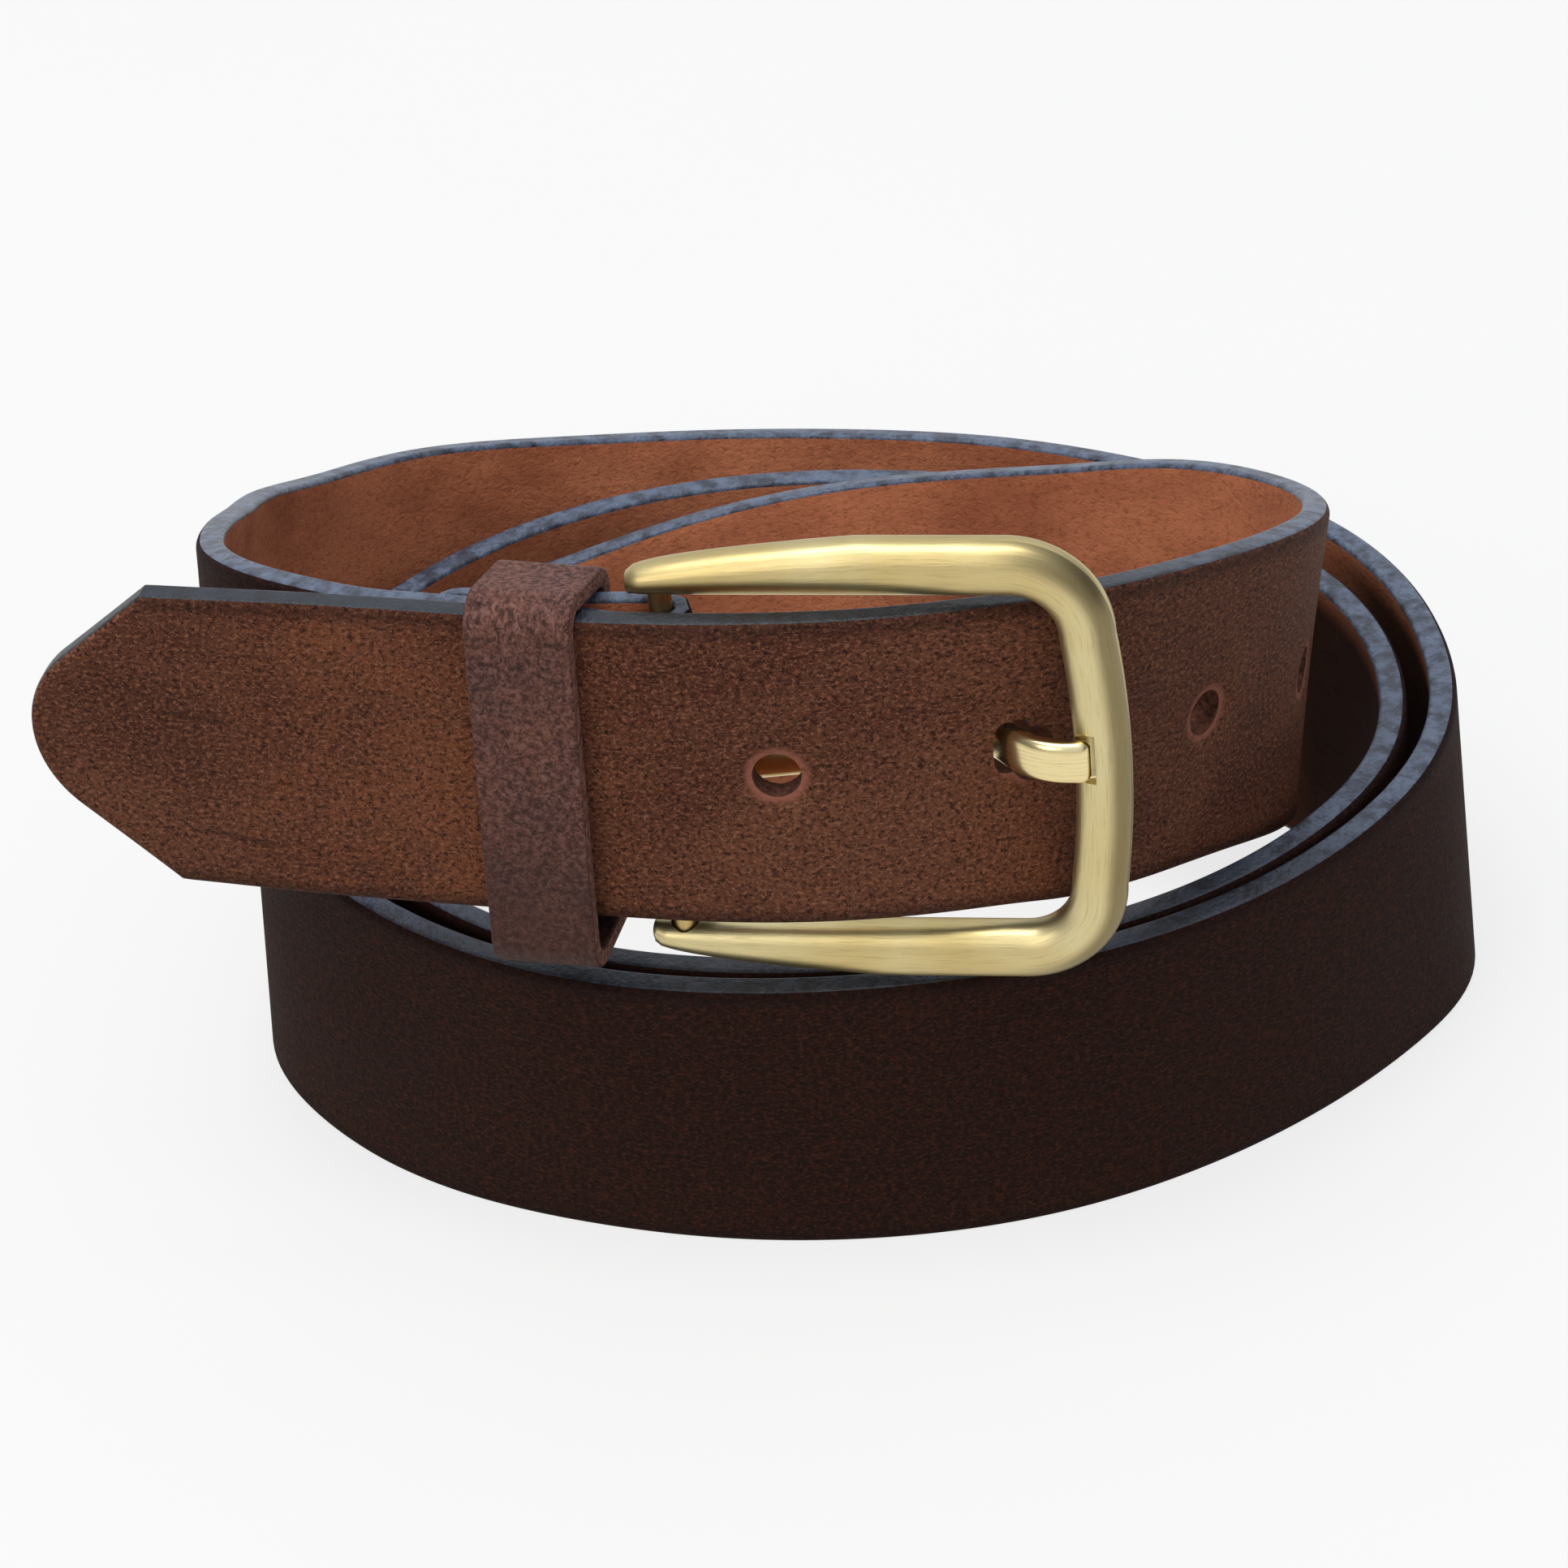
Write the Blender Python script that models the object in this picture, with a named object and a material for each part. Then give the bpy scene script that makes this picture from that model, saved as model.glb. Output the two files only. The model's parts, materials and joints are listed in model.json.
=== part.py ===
"""A leather belt, fastened and coiled on its edge into three turns.

Metres, +Z up, the floor at z = 0.  Sizes below are in millimetres and are turned
into metres when a mesh is made.  The buckle faces -Y.
"""
import math

import bmesh
import bpy
import numpy as np
from mathutils import Matrix, Vector

MM = 0.001

# ---------------------------------------------------------------- driving sizes
STRAP_WIDTH = 35.0
STRAP_THICK = 3.0
EDGE_ROUND = 0.55
FOLD_THICK = 2.0
TAIL_END_THICK = 0.8
GAP = 0.3

BAR_RADIUS = 1.2
BAR_GAP = 0.15
BAR_AXIS = (-11.0, -51.15)
BUCKLE_Z = 59.8
LINE_ANGLE = math.radians(-16.6)

HOLE_RADIUS = 2.5
HOLE_PITCH = 25.0
HOLE_COUNT = 5
FASTENED_HOLE = 1
FIRST_HOLE = 78.2
TIP_LENGTH = 14.0
TIP_FLANK_SLOPE = 0.86

# moves the middle of the finished belt's plan onto the origin
CENTRE_SHIFT = (1.16, -0.43, 0.0)

# The strap's path: the middle of its width and of its full thickness, as
# (x, y, z, outward lean in degrees), from the buckle round to the tip.
ROUTE = [
    # buckle end, riding on the low coil, then down the left side to the floor
    (-45.6, -41.0, 59.5, 0), (-51.8, -35.2, 58.0, -2),
    (-56.6, -26.8, 55.3, -4), (-58.5, -15.2, 51.2, -5.5), (-57.9, -1.0, 45.2, -6),
    (-55.9, 13.5, 38.9, -3), (-50.0, 29.1, 31.9, 2), (-39.7, 43.8, 26.0, 8),
    (-25.0, 54.2, 20.8, 11), (-8.0, 58.3, 18.1, 13), (10.0, 58.1, 16.9, 13),
    (27.0, 53.7, 16.9, 12), (43.3, 45.6, 17.05, 9), (57.0, 35.4, 17.2, 5),
    # outer turn on the floor
    (67.0, 20.8, 17.4, 1), (71.3, 4.2, 17.4, -1), (71.3, -9.0, 17.4, -2),
    (65.9, -21.6, 17.4, 3), (56.6, -32.8, 17.2, 7), (43.3, -43.05, 17.05, 9),
    (27.0, -50.25, 17.05, 9), (9.0, -52.9, 17.05, 9), (-9.0, -51.2, 17.05, 9.5),
    (-25.0, -45.6, 17.05, 9), (-40.5, -35.0, 17.2, 5), (-51.5, -20.3, 17.4, 1),
    (-55.7, -6.0, 17.4, -1.5), (-53.0, 8.3, 17.4, -2), (-48.2, 20.8, 17.4, -1),
    (-41.0, 31.0, 17.4, 0), (-30.7, 40.8, 17.4, 0), (-16.5, 48.2, 17.4, 0),
    (0.0, 51.0, 17.4, 0), (16.0, 49.3, 17.4, 0), (32.0, 44.2, 17.4, 0),
    # inner turn on the floor
    (47.0, 35.0, 17.4, 0), (58.3, 23.0, 17.4, 0), (64.3, 9.0, 17.4, 0),
    (65.7, -5.0, 17.4, 0), (62.4, -18.5, 17.4, 2.5), (54.2, -30.0, 17.2, 5.5),
    (41.3, -39.8, 17.05, 8.5), (26.0, -46.5, 17.05, 9), (9.0, -49.2, 17.05, 9),
    (-8.5, -47.5, 17.05, 9), (-23.5, -42.0, 17.05, 8), (-37.0, -31.3, 17.2, 5),
    (-46.4, -18.0, 17.4, 2), (-49.6, -5.0, 17.4, 0), (-47.1, 7.9, 17.4, 2),
    (-41.3, 18.2, 17.7, 6), (-33.5, 25.0, 18, 10), (-23.0, 29.5, 18.6, 12),
    # rising up the right side, then the tip end across the front
    (-11.4, 33.8, 19.8, 12), (4.6, 34.9, 22.4, 12), (20.5, 29.4, 26.2, 12),
    (34.3, 20.8, 30.7, 11), (45.4, 11.8, 35.2, 10), (52.7, 0.0, 39.3, 9),
    (54.9, -12.0, 43.6, 8), (53.3, -22.9, 47.9, 7), (48.1, -33.4, 52.1, 6),
    (41.2, -42.5, 55.5, 4.5), (32.2, -51.6, 59.0, 2.5), (27.2, -55.0, 60.4, 1.5),
    (21.0, -57.3, 61.3, 0.5), (12.0, -58.7, 61.7, 0), (-4.0, -57.95, 61.8, 0),
    (-18.0, -54.95, 61.7, 1), (-32.0, -50.85, 61.6, 1.2), (-46.0, -46.7, 61.5, 1.5),
    (-60.0, -42.4, 61.35, 3.5), (-75.8, -37.5, 61.2, 5),
]

# ---------------------------------------------------------------- small helpers
def remove_everything():
    for item in list(bpy.data.objects):
        bpy.data.objects.remove(item, do_unlink=True)


def material(name, colour, roughness, metallic):
    made = bpy.data.materials.new(name)
    made.use_nodes = True
    shader = made.node_tree.nodes["Principled BSDF"]
    shader.inputs["Base Color"].default_value = (*colour, 1.0)
    shader.inputs["Roughness"].default_value = roughness
    shader.inputs["Metallic"].default_value = metallic
    return made


def add_object(name, mesh_bm, mat):
    """Turn a bmesh in millimetres into an object in metres."""
    bmesh.ops.scale(mesh_bm, vec=(MM, MM, MM), verts=mesh_bm.verts)
    bmesh.ops.recalc_face_normals(mesh_bm, faces=mesh_bm.faces)
    mesh = bpy.data.meshes.new(name)
    mesh_bm.to_mesh(mesh)
    mesh_bm.free()
    if mat is not None:
        mesh.materials.append(mat)
    made = bpy.data.objects.new(name, mesh)
    bpy.context.scene.collection.objects.link(made)
    return made


def tube(rings):
    """Join rings of points, all of one length, into a closed capped body."""
    mesh_bm = bmesh.new()
    rows = [[mesh_bm.verts.new(point) for point in ring] for ring in rings]
    count = len(rows[0])
    for first, second in zip(rows, rows[1:]):
        for i in range(count):
            j = (i + 1) % count
            mesh_bm.faces.new((first[i], first[j], second[j], second[i]))
    mesh_bm.faces.new(rows[0])
    mesh_bm.faces.new(list(reversed(rows[-1])))
    return mesh_bm


def spline(points, step):
    """A natural cubic through points (any number of columns), sampled at a step."""
    points = np.asarray(points, float)
    knots = np.r_[0, np.cumsum(np.linalg.norm(np.diff(points[:, :3], axis=0), axis=1))]
    count = len(points)
    span = np.diff(knots)
    system = np.zeros((count, count))
    right = np.zeros_like(points)
    system[0, 0] = system[-1, -1] = 1
    for i in range(1, count - 1):
        system[i, i - 1] = span[i - 1]
        system[i, i] = 2 * (span[i - 1] + span[i])
        system[i, i + 1] = span[i]
        rise = (points[i + 1] - points[i]) / span[i] - (points[i] - points[i - 1]) / span[i - 1]
        right[i] = 6 * rise
    bend = np.linalg.solve(system, right)
    at = np.linspace(0, knots[-1], int(round(knots[-1] / step)) + 1)
    cell = np.clip(np.searchsorted(knots, at, side="right") - 1, 0, count - 2)
    h = span[cell][:, None]
    left = (knots[cell + 1] - at)[:, None]
    past = (at - knots[cell])[:, None]
    curve = bend[cell] * left**3 / (6 * h) + bend[cell + 1] * past**3 / (6 * h)
    curve += (points[cell] / h - bend[cell] * h / 6) * left
    curve += (points[cell + 1] / h - bend[cell + 1] * h / 6) * past
    return curve


def change(target, tool, operation):
    """Apply a Boolean with another object, then drop that object."""
    step = target.modifiers.new("change", "BOOLEAN")
    step.operation = operation
    step.solver = "EXACT"
    step.object = tool
    bpy.context.view_layer.update()
    graph = bpy.context.evaluated_depsgraph_get()
    result = bpy.data.meshes.new_from_object(target.evaluated_get(graph))
    target.modifiers.clear()
    old = target.data
    target.data = result
    bpy.data.meshes.remove(old)
    bpy.data.objects.remove(tool, do_unlink=True)


def finish(made, angle, origin):
    """Shade a finished body and put its origin at a point given in millimetres."""
    pivot = Vector(origin) * MM
    made.data.name = made.name
    made.data.transform(Matrix.Translation(-pivot))
    made.location = pivot + Vector(CENTRE_SHIFT) * MM
    made.data.shade_smooth()
    made.data.set_sharp_from_angle(angle=math.radians(angle))


def box(centre, size_u, size_v, size_z):
    """A box square to the buckle line, as a bmesh in millimetres."""
    mesh_bm = bmesh.new()
    bmesh.ops.create_cube(mesh_bm, size=1.0)
    bmesh.ops.scale(mesh_bm, vec=(size_u, size_v, size_z), verts=mesh_bm.verts)
    place = Matrix.Translation(Vector(centre)) @ Matrix.Rotation(LINE_ANGLE, 4, "Z")
    bmesh.ops.transform(mesh_bm, matrix=place, verts=mesh_bm.verts)
    return mesh_bm


def cylinder(start, end, radius, sides=16):
    """A plain cylinder between two points, as a bmesh in millimetres."""
    start, end = Vector(start), Vector(end)
    mesh_bm = bmesh.new()
    length = (end - start).length
    bmesh.ops.create_cone(
        mesh_bm, cap_ends=True, segments=sides, radius1=radius, radius2=radius, depth=length
    )
    turn = (end - start).to_track_quat("Z", "Y").to_matrix().to_4x4()
    place = Matrix.Translation((start + end) / 2) @ turn
    bmesh.ops.transform(mesh_bm, matrix=place, verts=mesh_bm.verts)
    return mesh_bm


# ---------------------------------------------------------------- buckle line
# u runs along the fastened strap, from the heel bar towards the front bar,
# and v runs out of the belt, towards -Y.
U_AXIS = np.array([math.cos(LINE_ANGLE), math.sin(LINE_ANGLE), 0.0])
V_AXIS = np.array([math.sin(LINE_ANGLE), -math.cos(LINE_ANGLE), 0.0])
UP = np.array([0.0, 0.0, 1.0])
BAR_CENTRE = np.array([*BAR_AXIS, BUCKLE_Z])


def on_line(u, v, z):
    return BAR_CENTRE + u * U_AXIS + v * V_AXIS + np.array([0, 0, z - BUCKLE_Z])


# ---------------------------------------------------------------- the strap
FOLD_Z = 59.9
FOLD_GRAIN_RADIUS = BAR_RADIUS + BAR_GAP + FOLD_THICK
FOLD_MID_RADIUS = FOLD_GRAIN_RADIUS - STRAP_THICK / 2
TAIL_LENGTH = 25.5
TAIL_SETTLE = 12.0
TAIL_CORNER = 5.0
LEAST_HALF = 0.8


def tail_faces(along):
    """Flesh face, grain face and thickness of the folded tail, this far from the bar."""
    share = min(along / TAIL_SETTLE, 1.0)
    ease = share * share * (3 - 2 * share)
    past = max(along - TAIL_SETTLE, 0.0) / (TAIL_LENGTH - TAIL_SETTLE)
    thick = FOLD_THICK + (TAIL_END_THICK - FOLD_THICK) * past
    settled = FOLD_GRAIN_RADIUS - STRAP_THICK - GAP
    flesh = -(BAR_RADIUS + BAR_GAP) + ease * (settled + BAR_RADIUS + BAR_GAP)
    return flesh, flesh - thick, thick


def strap_centre_line():
    """Rows of (x, y, z, lean, thickness) from the folded tail's end to the tip."""
    rows = []
    # the tail lies behind the buckle end and closes up on it past the heel bar
    for along in np.linspace(TAIL_LENGTH, 1.5, 16):
        flesh, grain, thick = tail_faces(along)
        rows.append([*on_line(-along, grain + STRAP_THICK / 2, FOLD_Z), 0.0, thick])
    # round the heel bar
    for turn in np.linspace(-90, 90, 13):
        angle = math.radians(turn)
        place = on_line(
            FOLD_MID_RADIUS * math.cos(angle), FOLD_MID_RADIUS * math.sin(angle), FOLD_Z
        )
        rows.append([*place, 0.0, FOLD_THICK])
    # the buckle end, back to full thickness before it leaves the buckle line
    for along in (2.0, 4.0, 6.0, 9.0, 12.0, 15.0):
        share = max(0.0, min((along - 4.0) / 8.0, 1.0))
        thick = FOLD_THICK + (STRAP_THICK - FOLD_THICK) * share
        rows.append([*on_line(-along, FOLD_MID_RADIUS, FOLD_Z), 0.0, thick])
    lead = [[*on_line(-along, FOLD_MID_RADIUS, FOLD_Z), 0.0] for along in (15.0, 20.0, 26.0, 29.0)]
    for x, y, z, lean in spline(lead + [list(p) for p in ROUTE], 3.4)[1:]:
        rows.append([x, y, z, lean, STRAP_THICK])
    return np.array(rows)


def strap_frames(rows):
    """Centre points with the width and outward directions at each."""
    centre = rows[:, :3]
    ahead = np.gradient(centre, axis=0)
    ahead /= np.linalg.norm(ahead, axis=1)[:, None]
    width = UP - ahead * ahead[:, 2:3]
    width /= np.linalg.norm(width, axis=1)[:, None]
    out = np.cross(width, ahead)
    lean = np.radians(rows[:, 3])[:, None]
    return centre, width * np.cos(lean) + out * np.sin(lean), out * np.cos(lean) - width * np.sin(lean)


def tip_half_width(from_tip):
    """Straight flanks that run into a round nose."""
    full = STRAP_WIDTH / 2
    if from_tip >= TIP_LENGTH:
        return full
    flank = math.atan(TIP_FLANK_SLOPE)
    at_point = full - TIP_LENGTH * TIP_FLANK_SLOPE
    nose = at_point * math.cos(flank) / (1 - math.sin(flank))
    if from_tip > nose * (1 - math.sin(flank)):
        return at_point + from_tip * TIP_FLANK_SLOPE
    return max(math.sqrt(max(2 * nose * from_tip - from_tip**2, 0.0)), LEAST_HALF)


def tail_half_width(from_end):
    """The folded tail's end has rounded corners."""
    if from_end >= TAIL_CORNER:
        return STRAP_WIDTH / 2
    left = TAIL_CORNER - from_end
    return STRAP_WIDTH / 2 - TAIL_CORNER + math.sqrt(TAIL_CORNER**2 - left**2)


def section(half, thick, centre, width, out):
    """A strap section with rounded corners; its grain face stays put as it thins."""
    grain = STRAP_THICK / 2
    flesh = grain - thick
    r = min(EDGE_ROUND, thick * 0.3, half * 0.4)
    corners = [
        (half - r, grain), (half, grain - r), (half, flesh + r), (half - r, flesh),
        (r - half, flesh), (-half, flesh + r), (-half, grain - r), (r - half, grain),
    ]
    points = [centre + a * width + b * out for a, b in corners]
    # the turns that stand on the floor are pressed flat along their lower edge
    return [(x, y, max(z, 0.0)) for x, y, z in points]


def make_strap(mat):
    rows = strap_centre_line()
    centre, width, out = strap_frames(rows)
    along = np.r_[0, np.cumsum(np.linalg.norm(np.diff(centre, axis=0), axis=1))]
    total = along[-1]
    # finer stations over the tail's corners and the tip, so their outlines are smooth
    keep = (along > TAIL_CORNER) & (along < total - TIP_LENGTH - 1.0)
    corner = TAIL_CORNER * (1 - np.cos(np.linspace(0, math.pi / 2, 5)))
    tip = total - TIP_LENGTH * (1 - np.linspace(0, 0.998, 11)) ** 1.6
    stations = np.r_[corner, along[keep], tip]
    rings = []
    for at in stations:
        pick = [
            np.array([np.interp(at, along, part[:, i]) for i in range(3)])
            for part in (centre, width, out)
        ]
        thick = np.interp(at, along, rows[:, 4])
        half = min(tip_half_width(total - at), tail_half_width(at))
        rings.append(section(half, thick, *pick))
    strap = add_object("strap", tube(rings), mat)
    for number in range(HOLE_COUNT):
        if number == FASTENED_HOLE:
            continue
        at = total - FIRST_HOLE - number * HOLE_PITCH
        place = np.array([np.interp(at, along, centre[:, i]) for i in range(3)])
        face = np.array([np.interp(at, along, out[:, i]) for i in range(3)])
        punch = cylinder(place - face * STRAP_THICK, place + face * STRAP_THICK, HOLE_RADIUS)
        change(strap, add_object("punch", punch, None), "DIFFERENCE")
    return strap


# ---------------------------------------------------------------- the prong
PRONG_WIDTH = 5.0
PRONG_THICK = 2.4
PRONG_END_SHARE = 0.94
PRONG_SIDES = 12
PRONG_SQUARENESS = 0.6
PRONG_CLEARANCE = 0.9
NOTCH_CLEARANCE = 0.45
CLEARANCE_ACROSS = 0.7
EYE_OUTER = 2.5
PASSAGE_FROM_X = 15.0
# the slot through the fold that the prong's eye turns in
SLOT_CENTRE = (1.2, -0.5)
SLOT_LENGTH = 9.6
SLOT_DEPTH = 8.0
SLOT_ROOM = 0.6

# middle of the prong's section, behind the tip end, through it and onto the bar
PRONG_ROUTE = [
    (-4.2, -52.7, 60.3), (2.0, -53.4, 60.8), (10.0, -54.0, 61.4), (18.4, -54.1, 61.9),
    (20.9, -54.9, 62.1), (23.0, -57.9, 62.3), (25.2, -60.6, 62.4), (27.8, -61.8, 62.4),
    (30.6, -62.1, 62.4),
]


def rounded_box(sides, power):
    """Unit points round a box that a power below 1 squares up."""
    points = []
    for corner in range(sides):
        angle = 2 * math.pi * (corner + 0.5) / sides
        across, deep = math.cos(angle), math.sin(angle)
        points.append((
            math.copysign(abs(across) ** power, across),
            math.copysign(abs(deep) ** power, deep),
        ))
    return points


def prong_rings(extra, step):
    """Sections along the prong, each a rounded box grown by extra."""
    path = spline([list(BAR_CENTRE)] + [list(p) for p in PRONG_ROUTE], step)
    ahead = np.gradient(path, axis=0)
    ahead /= np.linalg.norm(ahead, axis=1)[:, None]
    rings = []
    for i, (place, front) in enumerate(zip(path, ahead)):
        side = np.cross(UP, front)
        side /= np.linalg.norm(side)
        taper = 1.0 - (1.0 - PRONG_END_SHARE) * i / (len(path) - 1)
        half_w = PRONG_WIDTH / 2 * taper + min(extra, CLEARANCE_ACROSS)
        half_t = PRONG_THICK / 2 * taper + extra
        ring = []
        for a, b in rounded_box(PRONG_SIDES, PRONG_SQUARENESS):
            ring.append(tuple(place + a * half_w * UP + b * half_t * side))
        rings.append(ring)
    return rings


def prong_passage(clearance):
    """The room the prong takes where it crosses the strap and lies on the bar."""
    rings = prong_rings(clearance, 1.0)
    first = next(i for i, ring in enumerate(rings) if ring[0][0] > PASSAGE_FROM_X)
    past = np.array(rings[-1]) + np.array([clearance, 0, 0])
    return add_object("passage", tube(rings[first:] + [[tuple(p) for p in past]]), None)


def make_prong(mat):
    prong = add_object("prong", tube(prong_rings(0.0, 1.2)[1:]), mat)
    half = UP * PRONG_WIDTH / 2
    eye = cylinder(BAR_CENTRE - half, BAR_CENTRE + half, EYE_OUTER, 24)
    change(prong, add_object("eye", eye, None), "UNION")
    bore = cylinder(BAR_CENTRE - UP * 6, BAR_CENTRE + UP * 6, BAR_RADIUS + BAR_GAP, 24)
    change(prong, add_object("bore", bore, None), "DIFFERENCE")
    finish(prong, 35, BAR_CENTRE)
    return prong


# ---------------------------------------------------------------- the buckle frame
FRAME_ANGLE = math.radians(-11.6)
FRAME_RISE = 0.03
F_AXIS = np.array([math.cos(FRAME_ANGLE), math.sin(FRAME_ANGLE), 0.0])
F_OUT = np.array([math.sin(FRAME_ANGLE), -math.cos(FRAME_ANGLE), 0.0])
INSIDE_HALF = 19.3
RAIL_TIP = -2.9
RAIL_FULL = 20.0
RAIL_HALF = 3.0
TIP_HALF = 1.15
CORNER_RADIUS = 7.8
FRONT_REACH = 43.9
FRONT_BOW = 1.0
BAR_HALF = 2.85
DEPTH_HALF = 2.5
TIP_DEPTH = 1.4
HEEL_BORE = BAR_RADIUS + GAP
HEEL_BORE_DEPTH = 2.3
FRAME_SIDES = 16
FRAME_SQUARENESS = 0.8


def rail_share(along):
    return max(0.0, min((along - RAIL_TIP) / (RAIL_FULL - RAIL_TIP), 1.0))


def frame_outline():
    """Half of the frame's middle line, from the upper rail's tip to the bar's
    middle, as (reach, height, half width, half depth)."""
    # the rail's end is a blunt dome: (how far past the tip, share of its size)
    rows = [
        (RAIL_TIP - past, INSIDE_HALF + TIP_HALF, TIP_HALF * share, TIP_DEPTH * share)
        for past, share in ((0.45, 0.4), (0.3, 0.7))
    ]
    corner_start = FRONT_REACH - FRONT_BOW - CORNER_RADIUS
    for along in np.r_[np.linspace(RAIL_TIP, RAIL_FULL, 12), np.linspace(RAIL_FULL + 3.0, corner_start, 4)]:
        share = rail_share(along)
        half = TIP_HALF + (RAIL_HALF - TIP_HALF) * share**0.55
        depth = TIP_DEPTH + (DEPTH_HALF - TIP_DEPTH) * share**0.3
        rows.append((along, INSIDE_HALF + half, half, depth))
    top = INSIDE_HALF + RAIL_HALF
    for turn in np.linspace(10, 80, 8):
        angle = math.radians(turn)
        half = RAIL_HALF + (BAR_HALF - RAIL_HALF) * turn / 90
        rows.append((
            corner_start + CORNER_RADIUS * math.sin(angle),
            top - CORNER_RADIUS * (1 - math.cos(angle)), half, DEPTH_HALF,
        ))
    straight = top - CORNER_RADIUS
    for height in np.linspace(straight, 0.0, 8):
        rows.append((FRONT_REACH - FRONT_BOW * (height / straight) ** 2, height, BAR_HALF, DEPTH_HALF))
    return rows


def make_frame(mat):
    upper = frame_outline()
    lower = [(reach, -height, half, depth) for reach, height, half, depth in reversed(upper[:-1])]
    rows = np.array(upper + lower)
    # the frame hangs a little lower at its heel than at its front bar
    middle = BAR_CENTRE + rows[:, :1] * (F_AXIS + FRAME_RISE * UP) + rows[:, 1:2] * UP
    ahead = np.gradient(middle, axis=0)
    ahead /= np.linalg.norm(ahead, axis=1)[:, None]
    rings = []
    for place, front, half, depth in zip(middle, ahead, rows[:, 2], rows[:, 3]):
        across = np.cross(F_OUT, front)
        ring = []
        for a, b in rounded_box(FRAME_SIDES, FRAME_SQUARENESS):
            ring.append(tuple(place + a * half * across + b * depth * F_OUT))
        rings.append(ring)
    frame = add_object("buckle_frame", tube(rings), mat)
    for side in (1, -1):
        start = BAR_CENTRE + UP * side * (INSIDE_HALF - 1.0)
        end = BAR_CENTRE + UP * side * (INSIDE_HALF + HEEL_BORE_DEPTH)
        change(frame, add_object("bore", cylinder(start, end, HEEL_BORE), None), "DIFFERENCE")
    change(frame, prong_passage(NOTCH_CLEARANCE), "DIFFERENCE")
    finish(frame, 40, BAR_CENTRE)
    return frame


def make_heel_bar(mat):
    reach = UP * (INSIDE_HALF + HEEL_BORE_DEPTH - GAP)
    bar = add_object("heel_bar", cylinder(BAR_CENTRE - reach, BAR_CENTRE + reach, BAR_RADIUS, 20), mat)
    finish(bar, 40, BAR_CENTRE)
    return bar


# ---------------------------------------------------------------- keeper, wires
KEEPER_U = -12.2
KEEPER_WIDTH = 11.0
KEEPER_THICK = 2.0
KEEPER_BACK = -3.3
KEEPER_FRONT = 7.9
# height of the loop's inner corners: back and front, at the top and at the bottom
KEEPER_TOP = (77.9, 79.65)
KEEPER_BOTTOM = (41.0, 40.6)
KEEPER_CORNER = 1.7
KEEPER_SEAM = 0.4
KEEPER_ROUND = 0.35
WIRE_RADIUS = 0.3
STAPLE_HALF = 2.5
STAPLE_TURN = 0.7
STITCH_PITCH = 4.2
STITCH_COUNT = 8
STITCH_ROWS = (("stitch_row_front", -4.9), ("stitch_row_rear", -22.2))
STITCH_END = 1.4
GROOVE = 0.75


def seam_height():
    return (KEEPER_TOP[0] + KEEPER_BOTTOM[0]) / 2


def keeper_path():
    """The loop's middle line in the (v, z) plane, from seam to seam.  It slopes
    down towards the back, where the buckle end stands lower than the tip end."""
    half = KEEPER_THICK / 2
    back, front = KEEPER_BACK - half, KEEPER_FRONT + half
    radius = KEEPER_CORNER + half
    seam = seam_height()
    corners = (
        (back + radius, KEEPER_TOP[0] + half - radius, 180),
        (front - radius, KEEPER_TOP[1] + half - radius, 90),
        (front - radius, KEEPER_BOTTOM[1] - half + radius, 0),
        (back + radius, KEEPER_BOTTOM[0] - half + radius, -90),
    )
    points = [(back, seam + step) for step in (KEEPER_SEAM / 2, 6.0, 12.0)]
    for centre_v, centre_z, start in corners:
        for turn in np.linspace(0, 90, 6):
            angle = math.radians(start - turn)
            points.append((centre_v + radius * math.cos(angle), centre_z + radius * math.sin(angle)))
    points += [(back, seam - step) for step in (12.0, 6.0, KEEPER_SEAM / 2)]
    return np.array(points)


def make_keeper(mat):
    path = keeper_path()
    ahead = np.gradient(path, axis=0)
    ahead /= np.linalg.norm(ahead, axis=1)[:, None]
    rings = []
    r = KEEPER_ROUND
    half_w, half_t = KEEPER_WIDTH / 2, KEEPER_THICK / 2
    corners = [
        (half_w - r, half_t), (half_w, half_t - r), (half_w, r - half_t), (half_w - r, -half_t),
        (r - half_w, -half_t), (-half_w, r - half_t), (-half_w, half_t - r), (r - half_w, half_t),
    ]
    for (v, z), (dv, dz) in zip(path, ahead):
        rings.append([tuple(on_line(KEEPER_U + a, v - b * dz, z + b * dv)) for a, b in corners])
    keeper = add_object("keeper", tube(rings), mat)
    for side in (1, -1):
        height = seam_height() + side * STAPLE_HALF
        start = on_line(KEEPER_U, KEEPER_BACK - KEEPER_THICK - 1, height)
        end = on_line(KEEPER_U, KEEPER_BACK + 1, height)
        leg_hole = cylinder(start, end, WIRE_RADIUS + GAP, 12)
        change(keeper, add_object("leg_hole", leg_hole, None), "DIFFERENCE")
    finish(keeper, 40, on_line(KEEPER_U, 0, seam_height()))
    return keeper


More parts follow.
